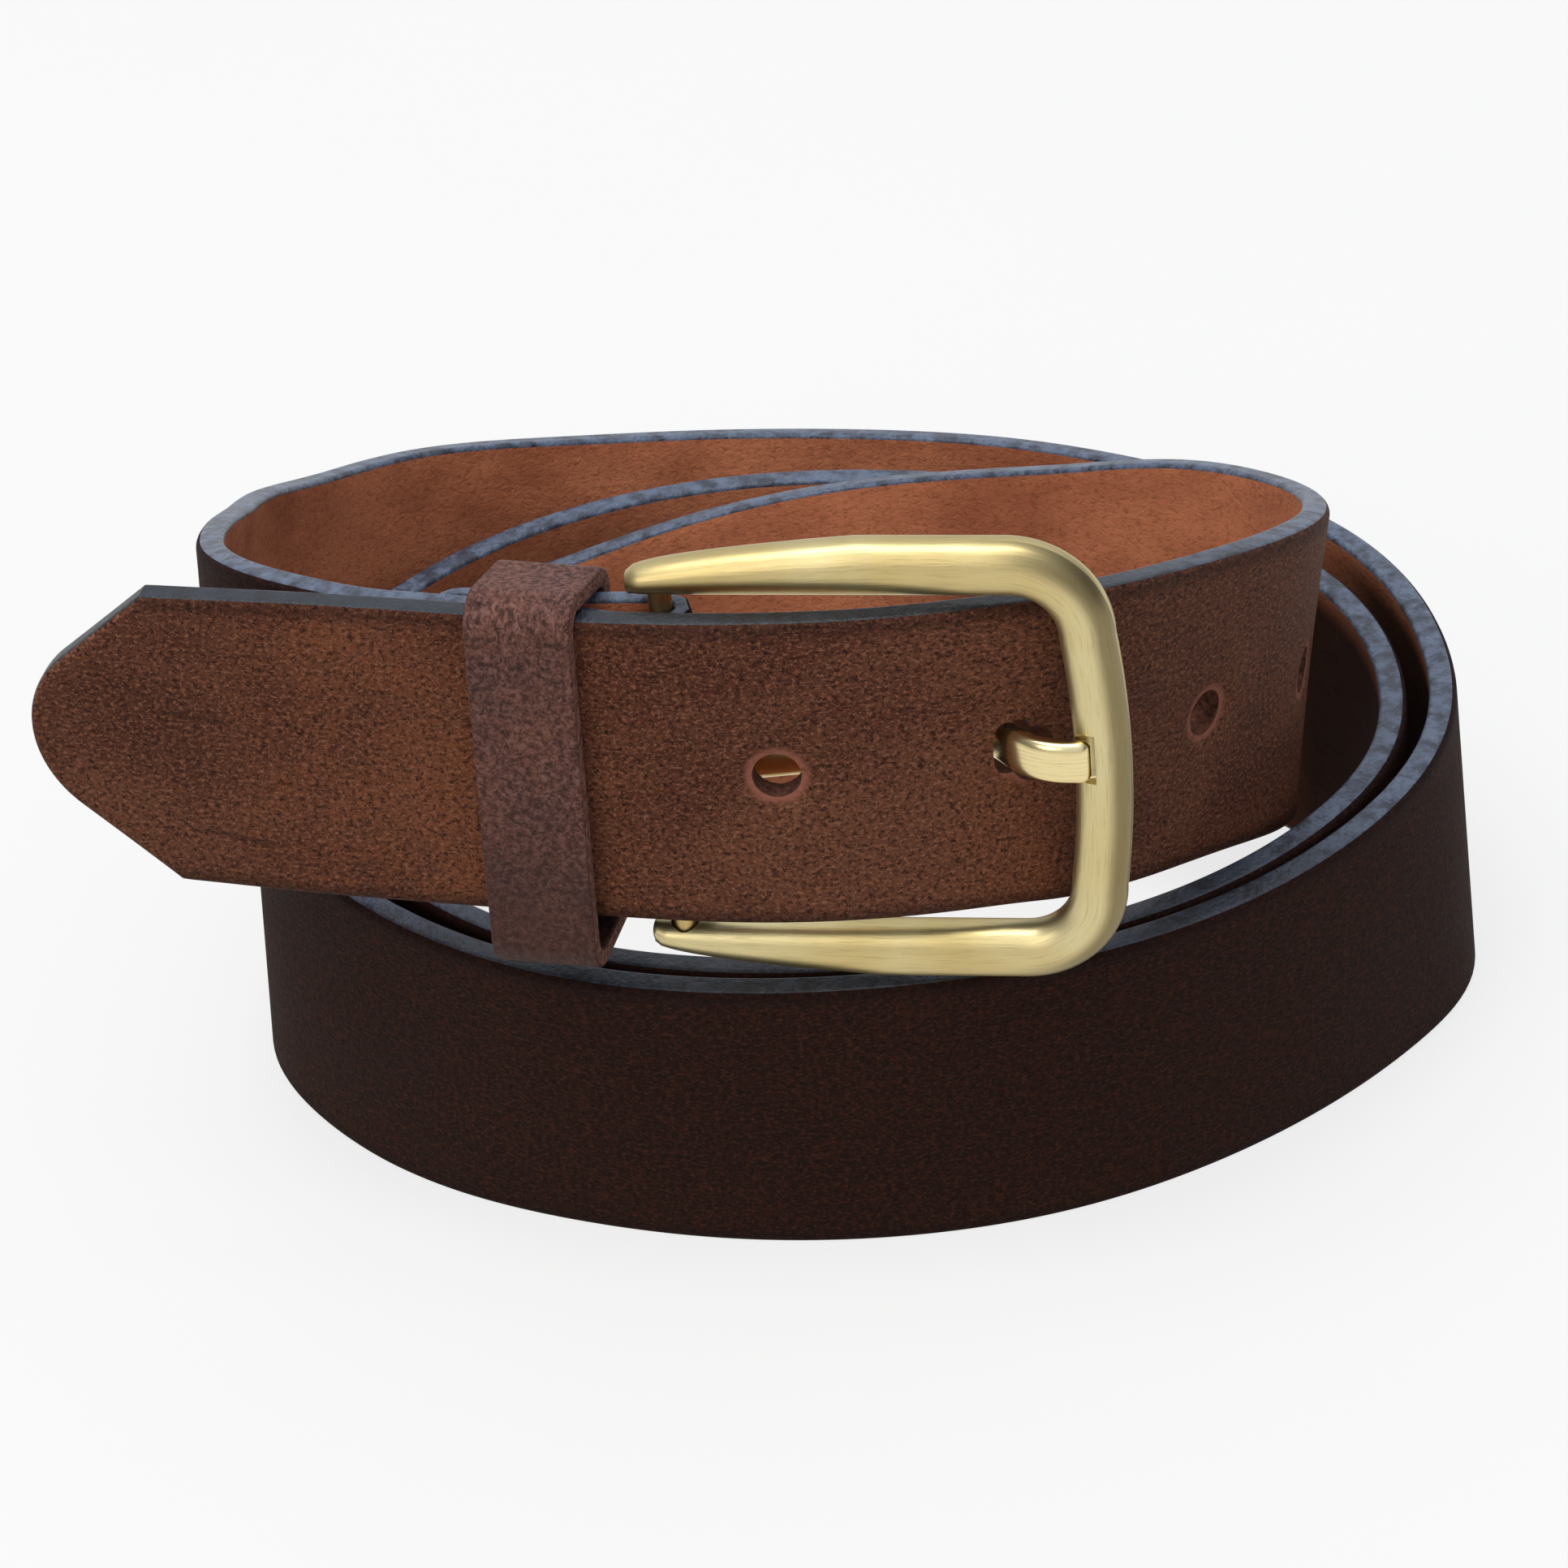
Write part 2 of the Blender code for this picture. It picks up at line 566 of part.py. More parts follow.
def wire(name, u, corners, mat):
    """A round wire or thread bent square through (v, z) corners at one u."""
    points = np.array(corners, float)
    steps = np.diff(points, axis=0)
    steps /= np.linalg.norm(steps, axis=1)[:, None]
    rings = []
    for i, (v, z) in enumerate(points):
        before = steps[max(i - 1, 0)]
        after = steps[min(i, len(steps) - 1)]
        mitre = np.array([-(before + after)[1], (before + after)[0]])
        mitre /= np.linalg.norm(mitre)
        stretch = 1.0 / abs(np.dot(mitre, [-after[1], after[0]]))
        ring = []
        for corner in range(8):
            angle = 2 * math.pi * (corner + 0.5) / 8
            a = WIRE_RADIUS * math.cos(angle)
            b = WIRE_RADIUS * math.sin(angle) * stretch
            ring.append(tuple(on_line(u + a, v + b * mitre[0], z + b * mitre[1])))
        rings.append(ring)
    made = add_object(name, tube(rings), mat)
    finish(made, 50, on_line(u, points[0][0], points[0][1]))
    return made


def make_staple(mat):
    seam = seam_height()
    inside = KEEPER_BACK + GAP + WIRE_RADIUS
    outside = KEEPER_BACK - KEEPER_THICK - GAP - WIRE_RADIUS
    corners = [
        (inside, seam + STAPLE_TURN), (inside, seam + STAPLE_HALF), (outside, seam + STAPLE_HALF),
        (outside, seam - STAPLE_HALF), (inside, seam - STAPLE_HALF), (inside, seam - STAPLE_TURN),
    ]
    return wire("keeper_staple", KEEPER_U, corners, mat)


def stitch_heights():
    return [FOLD_Z + STITCH_PITCH * (k - (STITCH_COUNT - 1) / 2) for k in range(STITCH_COUNT)]


def make_stitch_row(name, u, mat, strap):
    """Punch and groove the buckle end along one row, then lace its thread."""
    grain = tail_faces(-u)[1]
    front = FOLD_GRAIN_RADIUS - GROOVE + GAP + WIRE_RADIUS
    back = grain - GAP - WIRE_RADIUS
    room = WIRE_RADIUS + GAP
    heights = stitch_heights()
    for height in heights:
        # each hole stops short of the tip end that lies over it
        start = on_line(u, FOLD_GRAIN_RADIUS + GAP / 2, height)
        end = on_line(u, grain - room, height)
        change(strap, add_object("hole", cylinder(start, end, room, 10), None), "DIFFERENCE")
    groove = box(
        on_line(u, FOLD_GRAIN_RADIUS - GROOVE / 2 + GAP / 3, FOLD_Z),
        2 * room, GROOVE + GAP * 2 / 3, heights[-1] - heights[0] + 2 * room,
    )
    change(strap, add_object("groove", groove, None), "DIFFERENCE")
    corners = [(back, heights[0] - STITCH_END)]
    side, other = back, front
    for height in heights:
        corners += [(side, height), (other, height)]
        side, other = other, side
    corners.append((side, heights[-1] + STITCH_END))
    return wire(name, u, corners, mat)


# ---------------------------------------------------------------- assembly
def main():
    remove_everything()
    leather = material("strap_leather", (0.13, 0.05, 0.03), 0.6, 0.0)
    keeper_leather = material("keeper_leather", (0.11, 0.045, 0.035), 0.65, 0.0)
    brass = material("antique_brass", (0.62, 0.5, 0.25), 0.35, 1.0)
    pin_brass = material("pin_brass", (0.6, 0.47, 0.24), 0.4, 1.0)
    prong_brass = material("prong_brass", (0.66, 0.52, 0.28), 0.25, 1.0)
    steel = material("staple_steel", (0.5, 0.48, 0.45), 0.35, 1.0)
    thread = material("waxed_thread", (0.06, 0.03, 0.02), 0.8, 0.0)

    strap = make_strap(leather)
    slot = box(on_line(*SLOT_CENTRE, BUCKLE_Z), SLOT_LENGTH, SLOT_DEPTH, PRONG_WIDTH + 2 * SLOT_ROOM)
    change(strap, add_object("prong_slot", slot, None), "DIFFERENCE")
    change(strap, prong_passage(PRONG_CLEARANCE), "DIFFERENCE")
    for name, u in STITCH_ROWS:
        make_stitch_row(name, u, thread, strap)
    finish(strap, 40, (0.0, 0.0, 0.0))
    make_frame(brass)
    make_heel_bar(pin_brass)
    make_prong(prong_brass)
    make_keeper(keeper_leather)
    make_staple(steel)


main()
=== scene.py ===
"""The looks of a fastened leather belt, coiled on its edge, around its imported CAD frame.

Lengths are in millimetres until a mesh is made, then in metres.  The strap, the
prong and the frame follow the same routes as the CAD model.
"""
import json
import math

import bmesh
import bpy
import numpy as np
from mathutils import Matrix, Vector


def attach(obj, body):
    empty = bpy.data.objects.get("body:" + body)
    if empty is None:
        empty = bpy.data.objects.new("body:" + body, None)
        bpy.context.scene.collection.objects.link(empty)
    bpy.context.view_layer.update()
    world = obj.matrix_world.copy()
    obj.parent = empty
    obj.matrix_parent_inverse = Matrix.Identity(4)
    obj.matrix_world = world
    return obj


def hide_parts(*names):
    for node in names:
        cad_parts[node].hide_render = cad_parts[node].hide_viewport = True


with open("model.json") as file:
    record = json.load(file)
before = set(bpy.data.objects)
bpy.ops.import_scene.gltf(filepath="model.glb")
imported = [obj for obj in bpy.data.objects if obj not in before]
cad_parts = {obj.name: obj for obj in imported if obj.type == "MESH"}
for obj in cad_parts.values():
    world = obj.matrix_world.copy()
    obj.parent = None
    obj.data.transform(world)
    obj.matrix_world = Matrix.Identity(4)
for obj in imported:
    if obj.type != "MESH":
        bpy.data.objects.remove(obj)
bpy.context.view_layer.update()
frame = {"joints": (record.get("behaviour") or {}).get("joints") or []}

MM = 0.001

# ---------------------------------------------------------------- driving sizes
STRAP_WIDTH = 35.0
STRAP_THICK = 3.0
GRAIN_EDGE_ROUND = 0.95
FLESH_EDGE_ROUND = 0.55
FOLD_THICK = 2.0
TAIL_END_THICK = 0.8
GAP = 0.3
BAR_RADIUS = 1.2
BAR_GAP = 0.15
LINE_ANGLE = math.radians(-16.6)
CENTRE_SHIFT = np.array([1.16, -0.43, 0.0])

# the heel bar's axis is where the CAD frame's hinge is
HINGE = next(joint for joint in frame["joints"] if joint["name"] == "frame_swing")
BAR_CENTRE = np.array(HINGE["pos_m"]) / MM - CENTRE_SHIFT
BUCKLE_Z = BAR_CENTRE[2]

HOLE_RADIUS = 2.5
HOLE_PITCH = 25.0
HOLE_COUNT = 5
FASTENED_HOLE = 1
FIRST_HOLE = 78.2
TIP_LENGTH = 14.0
TIP_FLANK_SLOPE = 0.86

# the strap's path, from the buckle round to the tip: (x, y, z, outward lean in degrees)
ROUTE = [
    (-45.6, -41.0, 59.5, 0), (-51.8, -35.2, 58.0, -2),
    (-56.6, -26.8, 55.3, -4), (-58.5, -15.2, 51.2, -5.5), (-57.9, -1.0, 45.2, -6),
    (-55.9, 13.5, 38.9, -3), (-50.0, 29.1, 31.9, 2), (-39.7, 43.8, 26.0, 8),
    (-25.0, 54.2, 20.8, 11), (-8.0, 58.3, 18.1, 13), (10.0, 58.1, 16.9, 13),
    (27.0, 53.7, 16.9, 12), (43.3, 45.6, 17.05, 9), (57.0, 35.4, 17.2, 5),
    (67.0, 20.8, 17.4, 1), (71.3, 4.2, 17.4, -1), (71.3, -9.0, 17.4, -2),
    (65.9, -21.6, 17.4, 3), (56.6, -32.8, 17.2, 7), (43.3, -43.05, 17.05, 9),
    (27.0, -50.25, 17.05, 9), (9.0, -52.9, 17.05, 9), (-9.0, -51.2, 17.05, 9.5),
    (-25.0, -45.6, 17.05, 9), (-40.5, -35.0, 17.2, 5), (-51.5, -20.3, 17.4, 1),
    (-55.7, -6.0, 17.4, -1.5), (-53.0, 8.3, 17.4, -2), (-48.2, 20.8, 17.4, -1),
    (-41.0, 31.0, 17.4, 0), (-30.7, 40.8, 17.4, 0), (-16.5, 48.2, 17.4, 0),
    (0.0, 51.0, 17.4, 0), (16.0, 49.3, 17.4, 0), (32.0, 44.2, 17.4, 0),
    (47.0, 35.0, 17.4, 0), (58.3, 23.0, 17.4, 0), (64.3, 9.0, 17.4, 0),
    (65.7, -5.0, 17.4, 0), (62.4, -18.5, 17.4, 2.5), (54.2, -30.0, 17.2, 5.5),
    (41.3, -39.8, 17.05, 8.5), (26.0, -46.5, 17.05, 9), (9.0, -49.2, 17.05, 9),
    (-8.5, -47.5, 17.05, 9), (-23.5, -42.0, 17.05, 8), (-37.0, -31.3, 17.2, 5),
    (-46.4, -18.0, 17.4, 2), (-49.6, -5.0, 17.4, 0), (-47.1, 7.9, 17.4, 2),
    (-41.3, 18.2, 17.7, 6), (-33.5, 25.0, 18, 10), (-23.0, 29.5, 18.6, 12),
    (-11.4, 33.8, 19.8, 12), (4.6, 34.9, 22.4, 12), (20.5, 29.4, 26.2, 12),
    (34.3, 20.8, 30.7, 11), (45.4, 11.8, 35.2, 10), (52.7, 0.0, 39.3, 9),
    (54.9, -12.0, 43.6, 8), (53.3, -22.9, 47.9, 7), (48.1, -33.4, 52.1, 6),
    (41.2, -42.5, 55.5, 4.5), (32.2, -51.6, 59.0, 2.5), (27.2, -55.0, 60.4, 1.5),
    (21.0, -57.3, 61.3, 0.5), (12.0, -58.7, 61.7, 0), (-4.0, -57.95, 61.8, 0),
    (-18.0, -54.95, 61.7, 1), (-32.0, -50.85, 61.6, 1.2), (-46.0, -46.7, 61.5, 1.5),
    (-60.0, -42.4, 61.35, 3.5), (-75.8, -37.5, 61.2, 5),
]

# middle of the prong's section, behind the tip end, through it and onto the bar
PRONG_ROUTE = [
    (-4.2, -52.7, 60.3), (2.0, -53.4, 60.8), (10.0, -54.0, 61.4), (18.4, -54.1, 61.9),
    (20.9, -54.9, 62.1), (23.0, -57.9, 62.3), (25.2, -60.6, 62.4), (27.8, -61.8, 62.4),
    (30.6, -62.1, 62.4),
]

# ---------------------------------------------------------------- shape helpers
UP = np.array([0.0, 0.0, 1.0])
U_AXIS = np.array([math.cos(LINE_ANGLE), math.sin(LINE_ANGLE), 0.0])
V_AXIS = np.array([math.sin(LINE_ANGLE), -math.cos(LINE_ANGLE), 0.0])


def on_line(u, v, z):
    """u runs along the fastened strap from the heel bar, v out of the belt."""
    return BAR_CENTRE + u * U_AXIS + v * V_AXIS + np.array([0, 0, z - BUCKLE_Z])


def directions(points):
    ahead = np.gradient(points, axis=0)
    return ahead / np.linalg.norm(ahead, axis=1)[:, None]


def lengths_along(points):
    return np.r_[0, np.cumsum(np.linalg.norm(np.diff(points, axis=0), axis=1))]


def spline(points, step):
    """A natural cubic through points (any number of columns), sampled at a step."""
    points = np.asarray(points, float)
    knots = lengths_along(points[:, :3])
    count = len(points)
    span = np.diff(knots)
    system = np.zeros((count, count))
    right = np.zeros_like(points)
    system[0, 0] = system[-1, -1] = 1
    for i in range(1, count - 1):
        system[i, i - 1] = span[i - 1]
        system[i, i] = 2 * (span[i - 1] + span[i])
        system[i, i + 1] = span[i]
        rise = (points[i + 1] - points[i]) / span[i] - (points[i] - points[i - 1]) / span[i - 1]
        right[i] = 6 * rise
    bend = np.linalg.solve(system, right)
    at = np.linspace(0, knots[-1], int(round(knots[-1] / step)) + 1)
    cell = np.clip(np.searchsorted(knots, at, side="right") - 1, 0, count - 2)
    h = span[cell][:, None]
    left = (knots[cell + 1] - at)[:, None]
    past = (at - knots[cell])[:, None]
    curve = bend[cell] * left**3 / (6 * h) + bend[cell + 1] * past**3 / (6 * h)
    curve += (points[cell] / h - bend[cell] * h / 6) * left
    curve += (points[cell + 1] / h - bend[cell + 1] * h / 6) * past
    return curve


def add_object(name, mesh_bm, *mats):
    """Turn a bmesh in millimetres into an object in metres, in the frame's place."""
    bmesh.ops.translate(mesh_bm, vec=Vector(CENTRE_SHIFT), verts=mesh_bm.verts)
    bmesh.ops.scale(mesh_bm, vec=(MM, MM, MM), verts=mesh_bm.verts)
    bmesh.ops.recalc_face_normals(mesh_bm, faces=mesh_bm.faces)
    mesh = bpy.data.meshes.new(name)
    mesh_bm.to_mesh(mesh)
    mesh_bm.free()
    for mat in mats:
        mesh.materials.append(mat)
    made = bpy.data.objects.new(name, mesh)
    bpy.context.scene.collection.objects.link(made)
    return made


def skin(rings, alongs, arounds, sides=None):
    """A closed tube through rings of points.  Its UV map, in metres, holds how far
    along and how far around each point is, and sides the material of each strip."""
    mesh_bm = bmesh.new()
    uv = mesh_bm.loops.layers.uv.new("UVMap")
    rows = [[mesh_bm.verts.new(point) for point in ring] for ring in rings]
    count = len(rows[0])
    for i, (first, second) in enumerate(zip(rows, rows[1:])):
        for k in range(count):
            j = (k + 1) % count
            face = mesh_bm.faces.new((first[k], first[j], second[j], second[k]))
            face.material_index = sides[k] if sides else 0
            marks = ((i, k), (i, k + 1), (i + 1, k + 1), (i + 1, k))
            for loop, (row, column) in zip(face.loops, marks):
                around = arounds[row][column] if np.ndim(arounds) == 2 else arounds[column]
                loop[uv].uv = (alongs[row] * MM, around * MM)
    for ring, at in ((rows[0], alongs[0]), (list(reversed(rows[-1])), alongs[-1])):
        cap = mesh_bm.faces.new(ring)
        cap.material_index = 1 if sides else 0
        for loop in cap.loops:
            loop[uv].uv = (at * MM, 0.0)
    return mesh_bm


def ring_lengths(ring):
    """How far round a ring each of its points is, with the way back to the first."""
    closed = np.vstack([ring, ring[:1]])
    return lengths_along(closed)


def box(centre, size_u, size_v, size_z):
    mesh_bm = bmesh.new()
    bmesh.ops.create_cube(mesh_bm, size=1.0)
    bmesh.ops.scale(mesh_bm, vec=(size_u, size_v, size_z), verts=mesh_bm.verts)
    place = Matrix.Translation(Vector(centre)) @ Matrix.Rotation(LINE_ANGLE, 4, "Z")
    bmesh.ops.transform(mesh_bm, matrix=place, verts=mesh_bm.verts)
    return mesh_bm


def cylinder(start, end, radius, sides=32):
    start, end = Vector(start), Vector(end)
    mesh_bm = bmesh.new()
    length = (end - start).length
    bmesh.ops.create_cone(
        mesh_bm, cap_ends=True, segments=sides, radius1=radius, radius2=radius, depth=length
    )
    turn = (end - start).to_track_quat("Z", "Y").to_matrix().to_4x4()
    bmesh.ops.transform(
        mesh_bm, matrix=Matrix.Translation((start + end) / 2) @ turn, verts=mesh_bm.verts
    )
    return mesh_bm


def change(target, tool_bm, mat, operation="DIFFERENCE"):
    """Apply a Boolean; the cut faces keep the tool's own material."""
    tool = add_object("tool", tool_bm, mat)
    step = target.modifiers.new("change", "BOOLEAN")
    step.operation = operation
    step.solver = "EXACT"
    step.material_mode = "TRANSFER"
    step.object = tool
    bpy.context.view_layer.update()
    graph = bpy.context.evaluated_depsgraph_get()
    result = bpy.data.meshes.new_from_object(target.evaluated_get(graph))
    target.modifiers.clear()
    target.data = result
    bpy.data.objects.remove(tool, do_unlink=True)


def finish(made, angle, body, replaced):
    """Shade a piece and tie it to the CAD frame."""
    made.data.shade_smooth()
    made.data.set_sharp_from_angle(angle=math.radians(angle))
    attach(made, body)
    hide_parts(replaced)


def rounded_box(sides, power):
    """Unit points round a box that a power below 1 squares up."""
    points = []
    for corner in range(sides):
        angle = 2 * math.pi * (corner + 0.5) / sides
        across, deep = math.cos(angle), math.sin(angle)
        points.append((
            math.copysign(abs(across) ** power, across),
            math.copysign(abs(deep) ** power, deep),
        ))
    return points


# ---------------------------------------------------------------- materials
def shade(red, green, blue):
    """A display colour from 0 to 255 as a linear one."""
    parts = []
    for part in (red, green, blue):
        part /= 255
        parts.append(part / 12.92 if part <= 0.04045 else ((part + 0.055) / 1.055) ** 2.4)
    return (*parts, 1.0)


class Nodes:
    """Builds shader nodes.  Values may be numbers, colours or other nodes' outputs."""

    def __init__(self, tree):
        self.tree = tree
        self.spots = tree.nodes.new("ShaderNodeTexCoord")

    def put(self, socket, value):
        if isinstance(value, bpy.types.NodeSocket):
            self.tree.links.new(value, socket)
        else:
            socket.default_value = value

    def put_all(self, node, values):
        for name, value in values.items():
            self.put(node.inputs[name.replace("_", " ")], value)

    def node(self, kind, **values):
        made = self.tree.nodes.new("ShaderNode" + kind)
        self.put_all(made, values)
        return made

    def math(self, operation, *values):
        node = self.node("Math")
        node.operation = operation
        for socket, value in zip(node.inputs, values):
            self.put(socket, value)
        return node.outputs[0]

    def add(self, first, second):
        return self.math("ADD", first, second)

    def times(self, first, second):
        return self.math("MULTIPLY", first, second)

    def spot(self, space="UV", stretch=(1, 1, 1), move=(0, 0, 0)):
        places = self.spots.outputs[space]
        return self.node("Mapping", Vector=places, Scale=stretch, Location=move).outputs[0]

    def split(self, vector):
        return self.node("SeparateXYZ", Vector=vector).outputs

    def noise(self, vector, size_mm, detail=3.0, rough=0.55, twist=0.0):
        return self.node(
            "TexNoise", Vector=vector, Scale=1 / (size_mm * MM), Detail=detail,
            Roughness=rough, Distortion=twist,
        ).outputs[0]

    def cells(self, vector, size_mm, feature="F1"):
        node = self.node("TexVoronoi", Vector=vector, Scale=1 / (size_mm * MM))
        node.feature = feature
        return node.outputs["Distance"]

    def band(self, value, low, high, bottom=0.0, top=1.0):
        """bottom below low, top above high and a smooth run between."""
        node = self.node(
            "MapRange", Value=value, From_Min=low, From_Max=high, To_Min=bottom, To_Max=top
        )
        node.interpolation_type = "SMOOTHSTEP"
        return node.outputs[0]

    def reach(self, length, low, high, bottom=0.0, top=1.0):
        """band for a length in metres, with its limits in millimetres."""
        return self.band(length, low * MM, high * MM, bottom, top)

    def stretch(self, length, limits):
        """1 between the two middle limits, in millimetres, and 0 beyond the outer two."""
        rise, full, fall, gone = limits
        return self.times(self.reach(length, rise, full), self.reach(length, fall, gone, 1, 0))

    def mix(self, share, first, second):
        node = self.node("Mix")
        node.data_type = "RGBA"
        for socket, value in zip((0, 6, 7), (share, first, second)):
            self.put(node.inputs[socket], value)
        return node.outputs[2]

    def paint(self, colour, tint, share, where):
        """Lay a share of a tint over a colour where the mask is 1."""
        return self.mix(self.times(where, share), colour, tint)

    def bump(self, height, depth_mm, strength=1.0, **below):
        node = self.node("Bump", Height=height, Distance=depth_mm * MM, Strength=strength, **below)
        return node.outputs[0]


class Finish(Nodes):
    """One material."""

    def __init__(self, name):
        self.material = bpy.data.materials.new(name)
        self.material.use_nodes = True
        super().__init__(self.material.node_tree)
        self.shader = self.tree.nodes["Principled BSDF"]

    def done(self, colour, roughness, **others):
        self.put_all(self.shader, {"Base Color": colour, "Roughness": roughness, **others})
        return self.material


# where the leather has marks of its own or painted shade, in millimetres: on the grain from
# the tip, on the edge and the inside by height above the floor and by distance to the back
RUBBED_BY_TIP = (16, 34, 46, 70)
RUBBED_BY_BAR = (92, 104, 106, 122)
RUBBED_BELOW_MIDDLE = (4, -12)
HOLED_STRETCH = (60, 64, 190, 194)
HOLE_WEAR = (2.7, 3.6)
RIM_FROM_MIDDLE = (15, 17)
LOW_TONE_AND_SHADE_TURNS = (190, 260)
CREASES = ((23, 6), (27, -8))
CREASE_WIDTH = 0.5
CREASE_REACH = (3, 5)
CREASE_SLANT = 0.12
CREASE_WANDER = 10
EDGE_DARKER_TO = (100, 150)
SHADED_EDGE_HEIGHT = (36, 40)
SHADED_EDGE_BACK = (-44, -26)
DEEP_SHADE_HEIGHT = (31, 37)
DEEP_SHADE_BACK = (18, 36)
KEEPER_LOW = (42, 64)
SHADED_FLANK_AROUND = (2.0, 3.6)
SHADED_FLANK_FROM_X = (20, 31)


def hole_ring(f, along, across):
    """Distance from the nearest punched hole's middle, in metres."""
    pitch = HOLE_PITCH * MM
    from_hole = f.math("WRAP", f.add(along, -FIRST_HOLE * MM), pitch / 2, -pitch / 2)
    return f.math("SQRT", f.add(f.times(from_hole, from_hole), f.times(across, across)))


def tip_creases(f, along, across):
    """A mask that is 0 in two faint creases near the tip and 1 elsewhere."""
    fold = f.noise(f.spot(move=(2, 0, 0)), 9, 2, 0.5)
    bent = f.add(along, f.times(fold, CREASE_WANDER * MM))
    creased = 1.0
    for at, height in CREASES:
        drop = f.add(f.add(across, -height * MM), f.times(bent, CREASE_SLANT))
        line = f.reach(f.math("ABSOLUTE", drop), 0, CREASE_WIDTH)
        short = f.reach(f.math("ABSOLUTE", f.add(bent, -at * MM)), *CREASE_REACH)
        creased = f.math("MINIMUM", creased, f.math("MAXIMUM", line, short))
    return creased


def grain_leather():
    """Matt brown grain, mottled and worn, darker in the low turns, partly by tone and partly by
    painted shade.
    """
    f = Finish("strap_grain")
    spot = f.spot()
    along, across = f.split(spot)[:2]
    blotch = f.noise(f.spot(stretch=(0.6, 1, 1)), 18, 4, 0.6, 0.6)
    patch = f.noise(f.spot(move=(3, 1, 0)), 4.5, 5, 0.7, 0.3)
    fleck = f.noise(f.spot(move=(7, 5, 0)), 1.3, 4, 0.75)
    speck = f.noise(f.spot(move=(5, 2, 0)), 0.62, 5, 0.85, 0.4)
    scuff = f.noise(f.spot(stretch=(0.7, 1, 1), move=(9, 4, 0)), 0.42, 5, 0.9)
    pebble = f.cells(spot, 0.5)
    pores = f.cells(f.spot(move=(1, 7, 0)), 0.9)
    vein = f.cells(f.spot(stretch=(0.8, 1, 1)), 1.5, "DISTANCE_TO_EDGE")

    colour = f.mix(f.band(blotch, 0.32, 0.68), shade(92, 50, 35), shade(124, 76, 54))
    # a warm, rubbed stretch past the tip and another by the front bar
    by_bar = f.times(f.stretch(along, RUBBED_BY_BAR), f.reach(across, *RUBBED_BELOW_MIDDLE))
    warm = f.add(f.stretch(along, RUBBED_BY_TIP), by_bar)
    warm = f.times(warm, f.band(f.add(patch, f.times(blotch, 0.6)), 0.55, 1.05))
    colour = f.paint(colour, shade(140, 80, 50), 0.85, warm)
    reddish = f.times(f.band(patch, 0.5, 0.68), f.band(blotch, 0.62, 0.4))
    colour = f.paint(colour, shade(86, 34, 26), 0.4, reddish)
    # the low turns: partly darker leather, partly painted shade, with a fine reddish net
    low = f.reach(along, *LOW_TONE_AND_SHADE_TURNS)
    net = f.times(f.band(vein, 0.12, 0.0), f.band(fleck, 0.34, 0.6))
    low_colour_and_shade = f.paint(shade(30, 14, 10), shade(82, 36, 22), 0.5, net)
    colour = f.paint(colour, low_colour_and_shade, 0.92, low)
    # fine dark specks and pale scuffs
    colour = f.paint(colour, shade(20, 8, 6), 0.80, f.band(speck, 0.49, 0.57))
    colour = f.paint(colour, shade(36, 18, 14), 0.45, f.band(fleck, 0.54, 0.72))
    pale = f.times(f.band(scuff, 0.51, 0.59), f.band(low, 0.0, 1.0, 0.75, 0.12))
    colour = f.mix(pale, colour, shade(176, 118, 88))
    # along the edges the finish has rubbed darker
    rim = f.reach(f.math("ABSOLUTE", across), *RIM_FROM_MIDDLE)
    colour = f.paint(colour, shade(30, 18, 17), 0.55, rim)
    # holes are worn pale at the rim
    near = f.reach(hole_ring(f, along, across), *HOLE_WEAR, 1, 0)
    near = f.times(near, f.stretch(along, HOLED_STRETCH))
    near = f.times(near, f.band(fleck, 0.25, 0.5))
    colour = f.paint(colour, shade(178, 112, 92), 0.8, near)

    height = f.add(f.times(pebble, 0.6), f.times(scuff, 1.2))
    height = f.add(height, f.times(f.band(pores, 0.0, 0.25), 0.5))
    normal = f.bump(height, 0.26, 0.95)
    wrinkles = f.noise(f.spot(stretch=(1, 0.3, 1)), 2.6, 5, 0.65, 0.5)
    normal = f.bump(wrinkles, 0.28, 0.6, Normal=normal)
    creased = tip_creases(f, along, across)
    normal = f.bump(creased, 0.3, 0.7, Normal=normal)
    # painted shade darkens the creases as well as their dent
    colour = f.mix(f.band(creased, 0.0, 1.0, 0.4, 0.0), colour, shade(48, 30, 25))
    roughness = f.add(f.times(blotch, 0.2), f.band(low, 0.0, 1.0, 0.50, 0.62))
    return f.done(colour, roughness, Normal=normal, Specular_IOR_Level=0.08)


